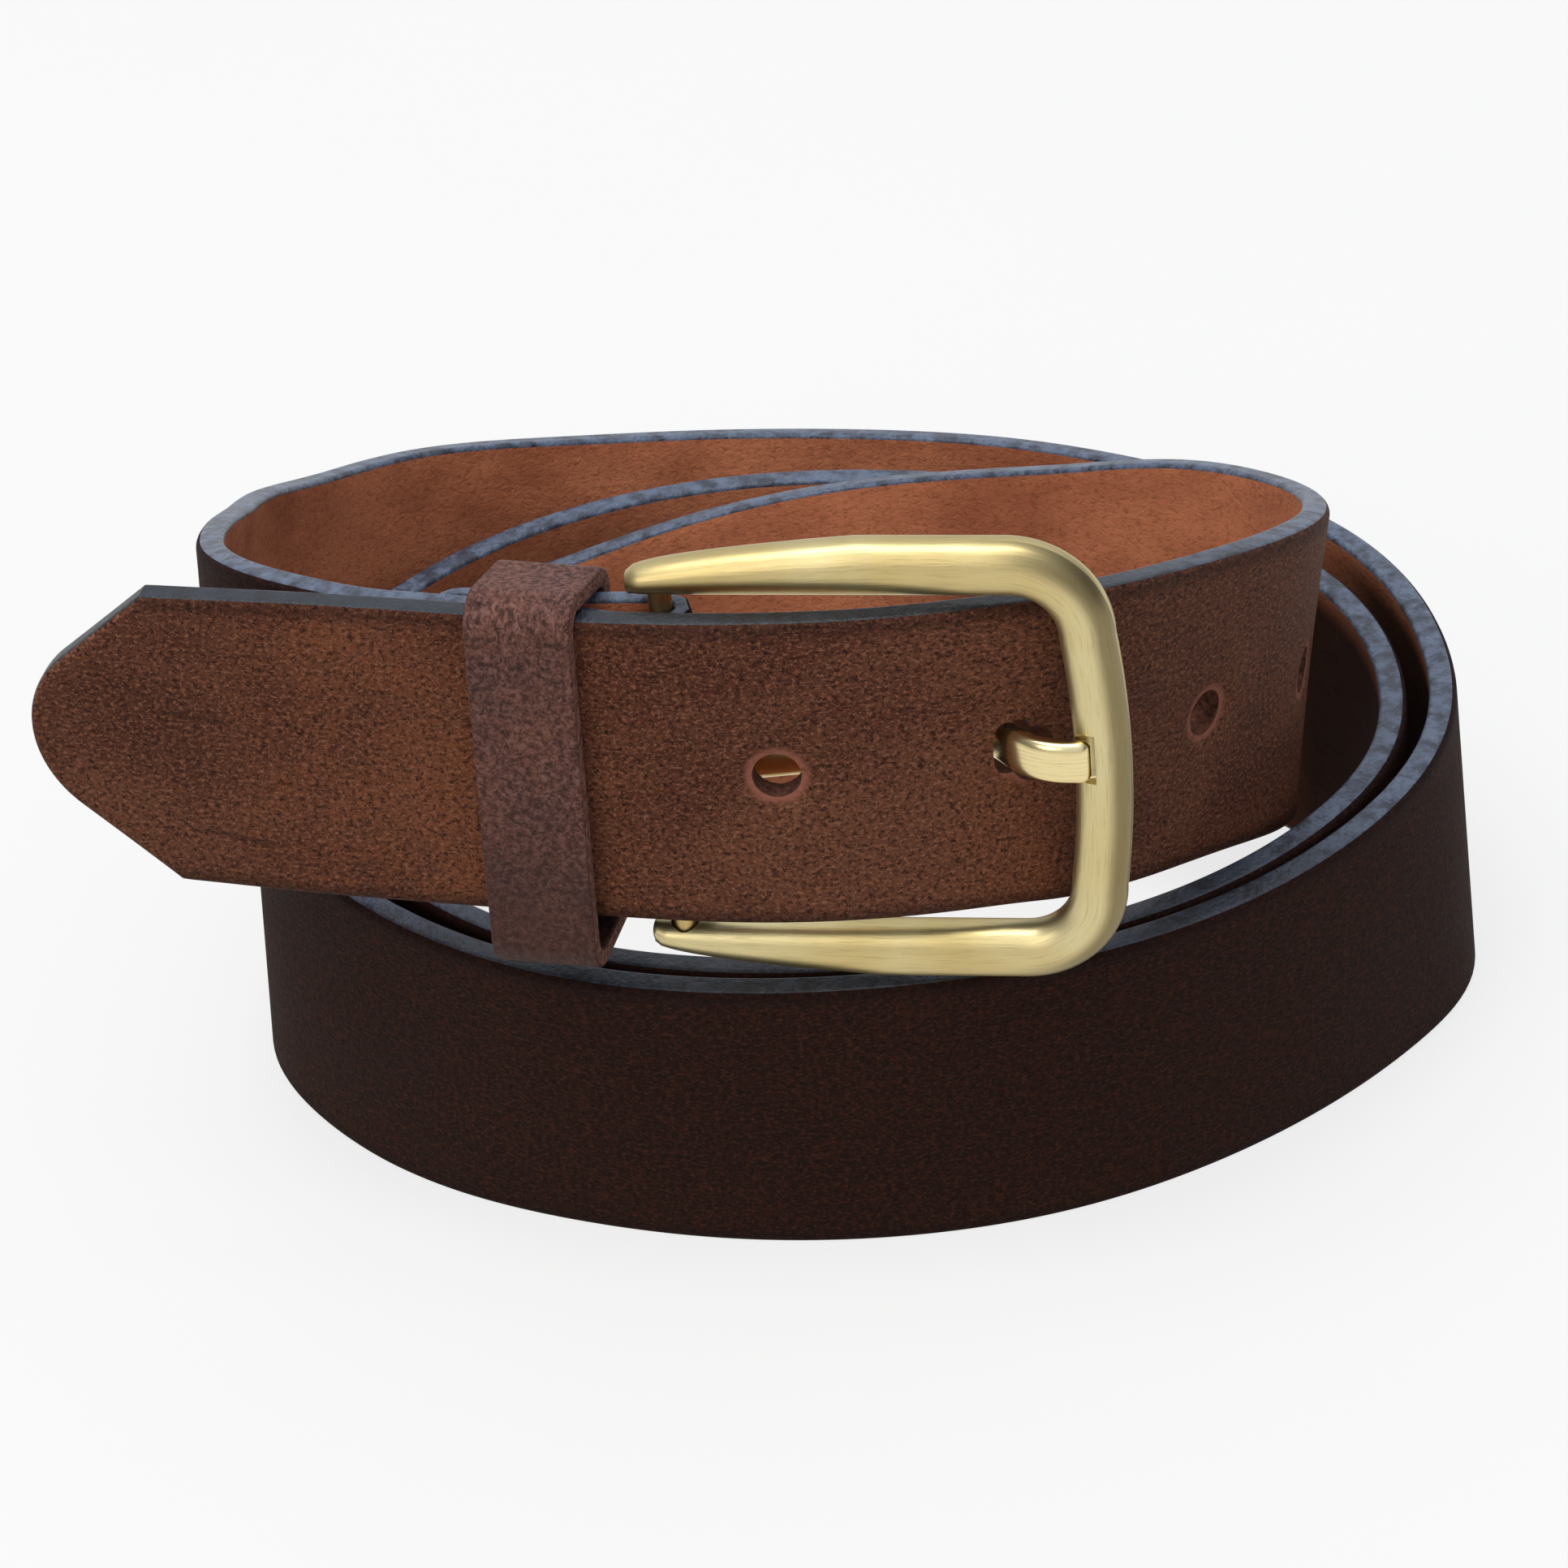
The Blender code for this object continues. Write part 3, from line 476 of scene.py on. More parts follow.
def edge_paint():
    """Blue-black paint on the cut edge, rubbed and finely wrinkled across, its pale blue partly
    painted reflection.
    """
    f = Finish("strap_edge")
    along = f.split(f.spot())[0]
    beyond, height = f.split(f.spot("Object"))[1:]
    rub_and_reflection = f.noise(f.spot("Object"), 2.2, 5, 0.65)
    wrinkle = f.noise(f.spot("Object", move=(3, 1, 2)), 0.6, 4, 0.65)
    fleck = f.noise(f.spot("Object", move=(1, 4, 2)), 1.1, 3, 0.7)
    # pale blue-grey where rubbed: partly worn paint, partly painted reflection of the bluish light
    # above
    colour = f.mix(f.band(rub_and_reflection, 0.35, 0.62), shade(46, 50, 62), shade(90, 101, 120))
    colour = f.paint(colour, shade(108, 70, 54), 0.4, f.band(fleck, 0.64, 0.76))
    colour = f.paint(colour, shade(20, 19, 22), 0.6, f.band(wrinkle, 0.46, 0.3))
    # painted shadow darkens it under the buckle, and it is darker towards the tip
    low = f.reach(height, *SHADED_EDGE_HEIGHT, 1, 0)
    shaded = f.times(low, f.reach(beyond, *SHADED_EDGE_BACK, 1, 0))
    colour = f.paint(colour, shade(22, 21, 24), 0.8, shaded)
    colour = f.mix(f.reach(along, *EDGE_DARKER_TO, 0.9, 0.0), colour, shade(13, 14, 20))
    normal = f.bump(wrinkle, 0.22, 0.9)
    normal = f.bump(rub_and_reflection, 0.3, 0.7, Normal=normal)
    roughness = f.add(f.times(fleck, 0.25), 0.24)
    return f.done(colour, roughness, Normal=normal, Specular_IOR_Level=0.45)


def flesh_leather():
    """The undyed, brushed inside of the strap."""
    f = Finish("strap_flesh")
    beyond, height = f.split(f.spot("Object"))[1:]
    cloud = f.noise(f.spot(stretch=(0.5, 1, 1)), 14, 4, 0.6)
    fibre = f.noise(f.spot(stretch=(0.6, 1, 1)), 0.6, 5, 0.8, 0.6)
    fuzz = f.noise(f.spot("Object"), 0.35, 2, 0.6)
    colour = f.mix(f.band(cloud, 0.33, 0.67), shade(162, 94, 64), shade(200, 124, 86))
    colour = f.paint(colour, shade(92, 46, 28), 0.4, f.band(fibre, 0.5, 0.38))
    colour = f.paint(colour, shade(196, 126, 86), 0.45, f.band(fibre, 0.55, 0.75))
    # painted shade: it is dark deep inside the front of the coil
    deep = f.times(f.reach(height, *DEEP_SHADE_HEIGHT, 1, 0), f.reach(beyond, *DEEP_SHADE_BACK, 1, 0))
    colour = f.paint(colour, shade(12, 6, 4), 0.94, deep)
    normal = f.bump(f.add(fibre, f.times(fuzz, 0.5)), 0.3, 0.8)
    return f.done(colour, 0.88, Normal=normal, Specular_IOR_Level=0.08)


def raw_leather(name, dark, pale):
    """A cut through the leather, granular and open."""
    f = Finish(name)
    crumb = f.noise(f.spot("Object"), 0.8, 4, 0.7)
    clot = f.cells(f.spot("Object"), 0.55)
    colour = f.mix(f.band(crumb, 0.35, 0.65), dark, pale)
    normal = f.bump(f.add(crumb, clot), 0.3, 0.9)
    return f.done(colour, 0.85, Normal=normal, Specular_IOR_Level=0.2)


def keeper_grain():
    """The loop's leather: stiffer and smoother, with open pores, darker at its low end."""
    f = Finish("keeper_grain")
    height_above = f.split(f.spot("Object"))[2]
    blotch = f.noise(f.spot(), 8, 4, 0.6, 0.4)
    speck = f.noise(f.spot(move=(2, 2, 0)), 0.7, 5, 0.85, 0.4)
    pebble = f.cells(f.spot(), 0.55)
    pores = f.cells(f.spot(move=(4, 1, 0)), 1.2)
    wrinkles = f.noise(f.spot(stretch=(1, 0.3, 1)), 2.5, 5, 0.65)
    colour = f.mix(f.band(blotch, 0.34, 0.66), shade(84, 48, 40), shade(104, 62, 48))
    colour = f.paint(colour, shade(24, 12, 9), 0.75, f.band(speck, 0.50, 0.58))
    colour = f.paint(colour, shade(140, 104, 94), 0.45, f.band(speck, 0.49, 0.42))
    colour = f.paint(colour, shade(28, 18, 16), 0.75, f.band(pores, 0.16, 0.06))
    colour = f.paint(colour, shade(48, 22, 15), 0.6, f.reach(height_above, *KEEPER_LOW, 1, 0))
    height = f.add(f.times(pebble, 0.5), f.times(speck, 0.7))
    height = f.add(height, f.band(pores, 0.05, 0.25))
    normal = f.bump(wrinkles, 0.3, 0.7, Normal=f.bump(height, 0.2, 0.9))
    roughness = f.add(f.times(blotch, 0.25), 0.45)
    return f.done(colour, roughness, Normal=normal, Specular_IOR_Level=0.22)


def aged_brass(name, bright, tarnish, grime, roughness, brushed, flank=0.0):
    """Satin brass: brushed along its length, faintly clouded, with a few dark pits and painted
    shade on a flank.
    """
    f = Finish(name)
    around = f.split(f.spot())[1]
    from_middle = f.split(f.spot("Object"))[0]
    cloud = f.noise(f.spot("Object"), 22, 3, 0.5, 0.3)
    spotty = f.noise(f.spot("Object", move=(1, 2, 3)), 0.9, 4, 0.7)
    brush = f.noise(f.spot(stretch=(0.05, 1, 1)), 0.22, 3, 0.6)
    colour = f.mix(f.band(cloud, 0.3, 0.7), bright, tarnish)
    colour = f.paint(colour, grime, 0.5, f.band(spotty, 0.70, 0.84))
    colour = f.paint(colour, grime, 0.22, f.band(brush, 0.5, 0.7))
    # painted shade on the front bar's outer flank, where its rounded section turns from the light
    outer = f.times(f.reach(around, *SHADED_FLANK_AROUND, 1, 0), f.reach(from_middle, *SHADED_FLANK_FROM_X))
    colour = f.paint(colour, shade(100, 86, 56), flank, outer)
    normal = f.bump(f.add(f.times(brush, brushed), f.times(spotty, 0.4)), 0.03, 0.6)
    rough = f.add(f.times(brush, 0.16), roughness)
    return f.done(colour, rough, Normal=normal, Metallic=1.0)


def twisted_thread():
    """Dark waxed thread, lighter on the crests of its twist."""
    f = Finish("waxed_thread_look")
    twist = f.noise(f.spot(stretch=(1, 0.4, 1)), 0.3, 2, 0.5)
    colour = f.mix(f.band(twist, 0.35, 0.65), shade(30, 17, 12), shade(84, 52, 38))
    return f.done(colour, 0.55, Normal=f.bump(twist, 0.06, 0.8), Sheen_Weight=0.2)


def bright_steel():
    """Bright wire with dull patches."""
    f = Finish("staple_steel_look")
    dull = f.noise(f.spot("Object"), 1.2, 4, 0.6)
    colour = f.mix(f.band(dull, 0.35, 0.7), shade(196, 192, 184), shade(120, 112, 100))
    normal = f.bump(dull, 0.03, 0.5)
    return f.done(colour, f.add(f.times(dull, 0.3), 0.18), Normal=normal, Metallic=1.0)


# ---------------------------------------------------------------- the strap
FOLD_Z = 59.9
FOLD_GRAIN_RADIUS = BAR_RADIUS + BAR_GAP + FOLD_THICK
FOLD_MID_RADIUS = FOLD_GRAIN_RADIUS - STRAP_THICK / 2
TAIL_LENGTH = 25.5
TAIL_SETTLE = 12.0
TAIL_CORNER = 5.0
TAIL_ROWS = 16
FOLD_ROWS = 13
# how far from the bar the skived leather has its full thickness again, and where it starts
SKIVE_START = 4.0
SKIVE_LENGTH = 8.0
GRAIN, EDGE, FLESH = 0, 1, 2
# shares of the flat face at which it has columns of points, close round the holes
FACE_COLUMNS = (0.035, 0.07, 0.105, 0.14, 0.175, 0.21, 0.26, 0.33, 0.43, 0.56, 0.7, 0.85)
EDGE_STEPS = 6
PAINTED_STEPS = 2
STATION_STEP = 1.5
FINE_STEP = 0.5
FINE_REACH = 5.5
HOLE_DENT = 0.4
DENT_REACH = 1.3
# most of the thickness that a rounded corner may take where the strap is thin
GRAIN_ROUND_SHARE = 0.4
FLESH_ROUND_SHARE = 0.3
TAIL_STATIONS = 7
TAIL_FIRST_ANGLE = 0.02
TIP_STATIONS = 40
TIP_CROWDING = 1.7
TIP_LAST_SHARE = 0.999
SMOOTH_HOLE_SIDES = 40
STRAP_SHARP_ANGLE = 34


def tail_faces(along):
    """Flesh face, grain face and thickness of the folded tail, this far from the bar."""
    share = min(along / TAIL_SETTLE, 1.0)
    ease = share * share * (3 - 2 * share)
    past = max(along - TAIL_SETTLE, 0.0) / (TAIL_LENGTH - TAIL_SETTLE)
    thick = FOLD_THICK + (TAIL_END_THICK - FOLD_THICK) * past
    settled = FOLD_GRAIN_RADIUS - STRAP_THICK - GAP
    flesh = -(BAR_RADIUS + BAR_GAP) + ease * (settled + BAR_RADIUS + BAR_GAP)
    return flesh, flesh - thick, thick


def strap_centre_line():
    """Rows of (x, y, z, lean, thickness) from the folded tail's end to the tip."""
    rows = []
    for along in np.linspace(TAIL_LENGTH, STATION_STEP, TAIL_ROWS):
        flesh, grain, thick = tail_faces(along)
        rows.append([*on_line(-along, grain + STRAP_THICK / 2, FOLD_Z), 0.0, thick])
    for turn in np.linspace(-90, 90, FOLD_ROWS):
        angle = math.radians(turn)
        place = on_line(
            FOLD_MID_RADIUS * math.cos(angle), FOLD_MID_RADIUS * math.sin(angle), FOLD_Z
        )
        rows.append([*place, 0.0, FOLD_THICK])
    for along in (2.0, 4.0, 6.0, 9.0, 12.0, 15.0):
        share = max(0.0, min((along - SKIVE_START) / SKIVE_LENGTH, 1.0))
        thick = FOLD_THICK + (STRAP_THICK - FOLD_THICK) * share
        rows.append([*on_line(-along, FOLD_MID_RADIUS, FOLD_Z), 0.0, thick])
    lead = [
        [*on_line(-along, FOLD_MID_RADIUS, FOLD_Z), 0.0] for along in (15.0, 20.0, 26.0, 29.0)
    ]
    for x, y, z, lean in spline(lead + [list(p) for p in ROUTE], STATION_STEP)[1:]:
        rows.append([x, y, z, lean, STRAP_THICK])
    return np.array(rows)


def strap_frames(rows):
    """Centre points with the width and outward directions at each."""
    centre = rows[:, :3]
    ahead = directions(centre)
    width = UP - ahead * ahead[:, 2:3]
    width /= np.linalg.norm(width, axis=1)[:, None]
    out = np.cross(width, ahead)
    lean = np.radians(rows[:, 3])[:, None]
    tilted = out * np.cos(lean) - width * np.sin(lean)
    return centre, width * np.cos(lean) + out * np.sin(lean), tilted


FLANK = math.atan(TIP_FLANK_SLOPE)
POINT_HALF = STRAP_WIDTH / 2 - TIP_LENGTH * TIP_FLANK_SLOPE
NOSE = POINT_HALF * math.cos(FLANK) / (1 - math.sin(FLANK))


def outline_half(from_tip, from_tail, inset):
    """Half the strap's width, measured to a line inset from its outline."""
    half = STRAP_WIDTH / 2 - inset
    if from_tail < TAIL_CORNER:
        left = TAIL_CORNER - from_tail
        half += math.sqrt(TAIL_CORNER**2 - left**2) - TAIL_CORNER
    flank = POINT_HALF + from_tip * TIP_FLANK_SLOPE - inset * math.hypot(1, TIP_FLANK_SLOPE)
    if from_tip < NOSE - (NOSE - inset) * math.sin(FLANK):
        return math.sqrt(max((NOSE - inset) ** 2 - (NOSE - from_tip) ** 2, 0.0))
    return min(half, flank)


def sunk(inset, radius):
    """How far a rounded edge has dropped at this inset from the outline."""
    left = max(radius - inset, 0.0)
    return radius - math.sqrt(max(radius**2 - left**2, 0.0))


def half_section(from_tip, from_tail, radius):
    """Points (half width, drop) of one face from its outline in to its middle."""
    points = []
    insets = [radius * (1 - math.cos(math.pi / 2 * k / EDGE_STEPS)) for k in range(EDGE_STEPS)]
    flat = outline_half(from_tip, from_tail, radius)
    places = [outline_half(from_tip, from_tail, inset) for inset in insets] + [flat]
    places += [flat * share for share in reversed(FACE_COLUMNS)] + [0.0]
    for place, inset in zip(places, insets + [radius] * (len(FACE_COLUMNS) + 2)):
        if place * TIP_FLANK_SLOPE < NOSE - from_tip:
            inset = min(inset, NOSE - math.hypot(NOSE - from_tip, place))
        points.append((place, sunk(max(inset, 0.0), radius)))
    return points


def section(from_tip, from_tail, thick):
    """One ring of the strap as (across, outwards): grain face, edge, flesh face, edge."""
    grain_round = min(GRAIN_EDGE_ROUND, thick * GRAIN_ROUND_SHARE)
    flesh_round = min(FLESH_EDGE_ROUND, thick * FLESH_ROUND_SHARE)
    grain, flesh = STRAP_THICK / 2, STRAP_THICK / 2 - thick
    outer = [(a, grain - drop) for a, drop in half_section(from_tip, from_tail, grain_round)]
    inner = [(a, flesh + drop) for a, drop in half_section(from_tip, from_tail, flesh_round)]
    ring = outer + [(-a, b) for a, b in reversed(outer[:-1])]
    ring += [(-a, b) for a, b in inner] + list(reversed(inner[:-1]))
    return ring


def dent(from_hole):
    """How far the grain is drawn in at this distance from a hole's middle."""
    return HOLE_DENT * math.exp(-((max(from_hole - HOLE_RADIUS, 0.0) / DENT_REACH) ** 2))


def strap_sides(ring_count):
    """The material of each strip round the strap.  The paint runs a little way
    round the grain corners and all the way round the flesh corners."""
    face = ring_count // 2
    sides = [GRAIN] * face + [FLESH] * (ring_count - face)
    sides[face - 1] = sides[-1] = EDGE
    for k in range(PAINTED_STEPS):
        sides[k] = sides[face - 2 - k] = EDGE
    for k in range(EDGE_STEPS):
        sides[face + k] = sides[-2 - k] = EDGE
    return sides


def strap_stations(total):
    """Distances along the strap, closer together round the holes and over the tip."""
    stations = list(np.arange(TAIL_CORNER + 1, total - TIP_LENGTH, STATION_STEP))
    for number in range(HOLE_COUNT):
        at = total - FIRST_HOLE - number * HOLE_PITCH
        stations = [s for s in stations if abs(s - at) > FINE_REACH]
        stations += list(np.arange(at - FINE_REACH, at + FINE_REACH, FINE_STEP))
    turns = np.linspace(TAIL_FIRST_ANGLE, math.pi / 2, TAIL_STATIONS)
    stations += list(TAIL_CORNER * (1 - np.cos(turns)))
    tip = TIP_LENGTH * (1 - np.linspace(0, TIP_LAST_SHARE, TIP_STATIONS)) ** TIP_CROWDING
    return np.array(sorted(stations) + list(total - tip))


def make_strap(mats, raw):
    """The strap with its holes, the slot at the fold and the room for prong and stitches."""
    rows = strap_centre_line()
    centre, width, out = strap_frames(rows)
    along = lengths_along(centre)
    total = along[-1]
    holes = [total - FIRST_HOLE - n * HOLE_PITCH for n in range(HOLE_COUNT)]

    def at_station(at, part):
        return np.array([np.interp(at, along, part[:, i]) for i in range(3)])

    rings, marks, arounds = [], [], []
    for at in strap_stations(total):
        place, wide, face = (at_station(at, part) for part in (centre, width, out))
        ring = section(total - at, at, np.interp(at, along, rows[:, 4]))
        nearest = min(abs(at - hole) for hole in holes)
        points = []
        for k, (a, b) in enumerate(ring):
            if k < len(ring) // 2 and nearest < FINE_REACH:
                b -= dent(math.hypot(nearest, a))
            x, y, z = place + a * wide + b * face
            points.append((x, y, max(z, 0.0)))
        rings.append(points)
        marks.append(total - at)
        arounds.append([a for a, b in ring] + [ring[0][0]])
    mesh_bm = skin(rings, marks, np.array(arounds), strap_sides(len(rings[0])))
    strap = add_object("belt_strap", mesh_bm, *mats)

    tools = []
    for number, hole in enumerate(holes):
        place, face = at_station(hole, centre), at_station(hole, out)
        if number == FASTENED_HOLE:
            tools.append(prong_hole(place, face))
        else:
            reach = face * STRAP_THICK
            tools.append(cylinder(place - reach, place + reach, HOLE_RADIUS, SMOOTH_HOLE_SIDES))
    tools.append(
        box(on_line(*SLOT_CENTRE, BUCKLE_Z), SLOT_LENGTH, SLOT_DEPTH, PRONG_WIDTH + 2 * SLOT_ROOM)
    )
    for u in STITCH_U.values():
        tools += stitch_room(u)
    cutters = bmesh.new()
    for tool in tools:
        mesh = bpy.data.meshes.new("tool")
        tool.to_mesh(mesh)
        tool.free()
        cutters.from_mesh(mesh)
        bpy.data.meshes.remove(mesh)
    for group in (cutters, prong_passage(LEATHER_CLEARANCE)):
        change(strap, group, raw)
    finish(strap, STRAP_SHARP_ANGLE, "belt", "strap")


# ---------------------------------------------------------------- the prong
PRONG_WIDTH = 5.0
PRONG_THICK = 2.4
PRONG_END_SHARE = 0.94
LEATHER_CLEARANCE = 0.9
PULLED_HALF_LONG = 3.1
PULLED_HALF_TALL = 3.2
NOTCH_CLEARANCE = 0.45
CLEARANCE_ACROSS = 0.7
EYE_OUTER = 2.5
PASSAGE_FROM_X = 15.0
SLOT_CENTRE = (1.2, -0.5)
SLOT_LENGTH = 9.6
SLOT_DEPTH = 8.0
SLOT_ROOM = 0.6
# the prong's section, from the more to the less square, and its blunt end
PASSAGE_SQUARENESS = 0.6
PASSAGE_STEP = 0.5
PASSAGE_SIDES = 24
PRONG_SQUARENESS = 0.7
PRONG_STEP = 0.4
PRONG_SIDES = 28
PRONG_DOME = 1.1
PRONG_DOME_NARROWS = 0.35
PRONG_BLUNT = 0.04
# the first rings lie inside the eye, and a ring past them gives the way round
EYE_RINGS = 3
FULL_RING = 9
EYE_SIDES = 48
BORE_SIDES = 40
EYE_BORE_HALF = 6.0
METAL_SHARP_ANGLE = 40


def prong_rings(extra, step, sides, squareness, domed=0.0):
    """Sections along the prong; a domed one closes in a blunt rounded end."""
    path = spline([list(BAR_CENTRE)] + [list(p) for p in PRONG_ROUTE], step)
    ahead = directions(path)
    along = lengths_along(path)
    rings = []
    for i, (place, front) in enumerate(zip(path, ahead)):
        side = np.cross(UP, front)
        side /= np.linalg.norm(side)
        taper = 1.0 - (1.0 - PRONG_END_SHARE) * i / (len(path) - 1)
        half_w = PRONG_WIDTH / 2 * taper + min(extra, CLEARANCE_ACROSS)
        half_t = PRONG_THICK / 2 * taper + extra
        if domed:
            left = min((along[-1] - along[i]) / domed, 1.0)
            close = math.sqrt(max(1 - (1 - left) ** 2, PRONG_BLUNT))
            half_w *= 1 - PRONG_DOME_NARROWS * (1 - close)
            half_t *= close
        rings.append([
            tuple(place + a * half_w * UP + b * half_t * side)
            for a, b in rounded_box(sides, squareness)
        ])
    return rings, along


def prong_passage(clearance):
    """The room the prong takes where it crosses the strap and lies on the bar."""
    rings = prong_rings(clearance, PASSAGE_STEP, PASSAGE_SIDES, PASSAGE_SQUARENESS)[0]
    first = next(i for i, ring in enumerate(rings) if ring[0][0] > PASSAGE_FROM_X)
    past = np.array(rings[-1]) + np.array([clearance, 0, 0])
    rings = rings[first:] + [[tuple(p) for p in past]]
    return skin(rings, range(len(rings)), [0.0] * (PASSAGE_SIDES + 1))


def prong_hole(place, face):
    """The fastened hole, pulled a little wider by the prong."""
    tool = cylinder(-STRAP_THICK * face, STRAP_THICK * face, 1.0, SMOOTH_HOLE_SIDES)
    grow = Matrix.Diagonal((PULLED_HALF_LONG, 1.0, PULLED_HALF_TALL, 1.0))
    bmesh.ops.transform(tool, matrix=Matrix.Translation(Vector(place)) @ grow, verts=tool.verts)
    return tool


def make_prong(mat):
    """The tongue with its eye, bored for the heel pin."""
    rings, along = prong_rings(0.0, PRONG_STEP, PRONG_SIDES, PRONG_SQUARENESS, PRONG_DOME)
    rings, along = rings[EYE_RINGS:], along[EYE_RINGS:]
    arounds = ring_lengths(np.array(rings[FULL_RING]))
    prong = add_object("brass_prong", skin(rings, along, arounds), mat)
    half = UP * PRONG_WIDTH / 2
    eye = cylinder(BAR_CENTRE - half, BAR_CENTRE + half, EYE_OUTER, EYE_SIDES)
    change(prong, eye, mat, "UNION")
    half = UP * EYE_BORE_HALF
    bore = cylinder(BAR_CENTRE - half, BAR_CENTRE + half, BAR_RADIUS + BAR_GAP, BORE_SIDES)
    change(prong, bore, mat)
    finish(prong, METAL_SHARP_ANGLE, "prong_body", "prong")


# ---------------------------------------------------------------- the buckle frame
FRAME_ANGLE = math.radians(-11.6)
FRAME_RISE = 0.03
F_AXIS = np.array([math.cos(FRAME_ANGLE), math.sin(FRAME_ANGLE), 0.0])
F_OUT = np.array([math.sin(FRAME_ANGLE), -math.cos(FRAME_ANGLE), 0.0])
INSIDE_HALF = 19.3
RAIL_TIP = -2.9
RAIL_FULL = 20.0
RAIL_HALF = 3.0
TIP_HALF = 1.15
CORNER_RADIUS = 7.8
FRONT_REACH = 43.9
FRONT_BOW = 1.0
BAR_HALF = 2.85
DEPTH_HALF = 2.5
TIP_DEPTH = 1.4
HEEL_BORE_DEPTH = 2.3
HEEL_BORE_INSET = 1.0
RIDGE = 0.22
RIDGE_SOFT = 0.16
FRAME_SIDES = 36
FRAME_SQUARENESS = 0.8
# the rails' rounded tips, and how fast the rails grow wide and deep behind them
RAIL_NOSE = 0.52
NOSE_ROWS = (0.5, 0.3875, 0.275, 0.1625, 0.05)
WIDTH_GROWTH = 0.55
DEPTH_GROWTH = 0.3
RAIL_ROWS = 60
CORNER_ROWS = 24
CORNER_TURNS = (4, 86)
BAR_ROWS = 26
PIN_CHAMFER = 0.25
PIN_ROWS = 30
PIN_SIDES = 28


def frame_outline():
    """Half of the frame's middle line, from the upper rail's tip to the bar's
    middle, as (reach, height, half width, half depth)."""
    rows = []
    for past in NOSE_ROWS:
        share = math.sqrt(1 - (past / RAIL_NOSE) ** 2)
        rows.append((RAIL_TIP - past, INSIDE_HALF + TIP_HALF, TIP_HALF * share, TIP_DEPTH * share))
    corner_start = FRONT_REACH - FRONT_BOW - CORNER_RADIUS
    for along in np.linspace(RAIL_TIP, corner_start, RAIL_ROWS):
        share = max(0.0, min((along - RAIL_TIP) / (RAIL_FULL - RAIL_TIP), 1.0))
        half = TIP_HALF + (RAIL_HALF - TIP_HALF) * share**WIDTH_GROWTH
        depth = TIP_DEPTH + (DEPTH_HALF - TIP_DEPTH) * share**DEPTH_GROWTH
        rows.append((along, INSIDE_HALF + half, half, depth))
    top = INSIDE_HALF + RAIL_HALF
    for turn in np.linspace(*CORNER_TURNS, CORNER_ROWS):
        angle = math.radians(turn)
        half = RAIL_HALF + (BAR_HALF - RAIL_HALF) * turn / 90
        rows.append((
            corner_start + CORNER_RADIUS * math.sin(angle),
            top - CORNER_RADIUS * (1 - math.cos(angle)), half, DEPTH_HALF,
        ))
    straight = top - CORNER_RADIUS
    for height in np.linspace(straight, 0.0, BAR_ROWS):
        reach = FRONT_REACH - FRONT_BOW * (height / straight) ** 2
        rows.append((reach, height, BAR_HALF, DEPTH_HALF))
    return rows


def make_frame(mat, notch_mat):
    """The open frame, with a bore in each rail's end and a notch for the prong."""
    upper = frame_outline()
    lower = [(reach, -height, half, depth) for reach, height, half, depth in reversed(upper[:-1])]
    rows = np.array(upper + lower)
    middle = BAR_CENTRE + rows[:, :1] * (F_AXIS + FRAME_RISE * UP) + rows[:, 1:2] * UP
    rings = []
    for place, front, half, depth in zip(middle, directions(middle), rows[:, 2], rows[:, 3]):
        across = np.cross(F_OUT, front)
        ring = []
        for a, b in rounded_box(FRAME_SIDES, FRAME_SQUARENESS):
            # two soft facets meet in a ridge along the front
            slope = RIDGE * (math.hypot(a, RIDGE_SOFT) - RIDGE_SOFT) if b > 0 else 0.0
            ring.append(tuple(place + a * half * across + b * (1 - slope) * depth * F_OUT))
        rings.append(ring)
    arounds = ring_lengths(np.array(rings[len(rings) // 2]))
    made = add_object("brass_frame", skin(rings, lengths_along(middle), arounds), mat)
    for side in (1, -1):
        start = BAR_CENTRE + UP * side * (INSIDE_HALF - HEEL_BORE_INSET)
        end = BAR_CENTRE + UP * side * (INSIDE_HALF + HEEL_BORE_DEPTH)
        change(made, cylinder(start, end, BAR_RADIUS + GAP), mat)
    change(made, prong_passage(NOTCH_CLEARANCE), notch_mat)
    finish(made, METAL_SHARP_ANGLE, "buckle", "buckle_frame")


def make_heel_pin(mat):
    """The bar between the rails, with chamfered ends."""
    reach = INSIDE_HALF + HEEL_BORE_DEPTH - GAP
    full = reach - PIN_CHAMFER
    heights = [-reach, *np.linspace(-full, full, PIN_ROWS), reach]
    rings = []
    for height in heights:
        radius = BAR_RADIUS - (PIN_CHAMFER if abs(height) == reach else 0.0)
        ring = []
        for corner in range(PIN_SIDES):
            angle = 2 * math.pi * corner / PIN_SIDES
            offset = np.array([radius * math.cos(angle), radius * math.sin(angle), height])
            ring.append(tuple(BAR_CENTRE + offset))
        rings.append(ring)
    arounds = ring_lengths(np.array(rings[1]))
    pin = add_object("heel_pin", skin(rings, heights, arounds), mat)
    finish(pin, METAL_SHARP_ANGLE, "buckle", "heel_bar")


# ---------------------------------------------------------------- keeper, wires
KEEPER_U = -12.2
KEEPER_WIDTH = 11.0
KEEPER_THICK = 2.0
KEEPER_BACK = -3.3
KEEPER_FRONT = 7.9
KEEPER_TOP = (77.9, 79.65)
KEEPER_BOTTOM = (41.0, 40.6)
KEEPER_CORNER = 1.7
KEEPER_SEAM = 0.4
KEEPER_ROUND = 0.3
KEEPER_ROUND_TURNS = (0, 30, 60, 90)
KEEPER_COLUMNS = (0.6, 0.2, -0.2, -0.6)
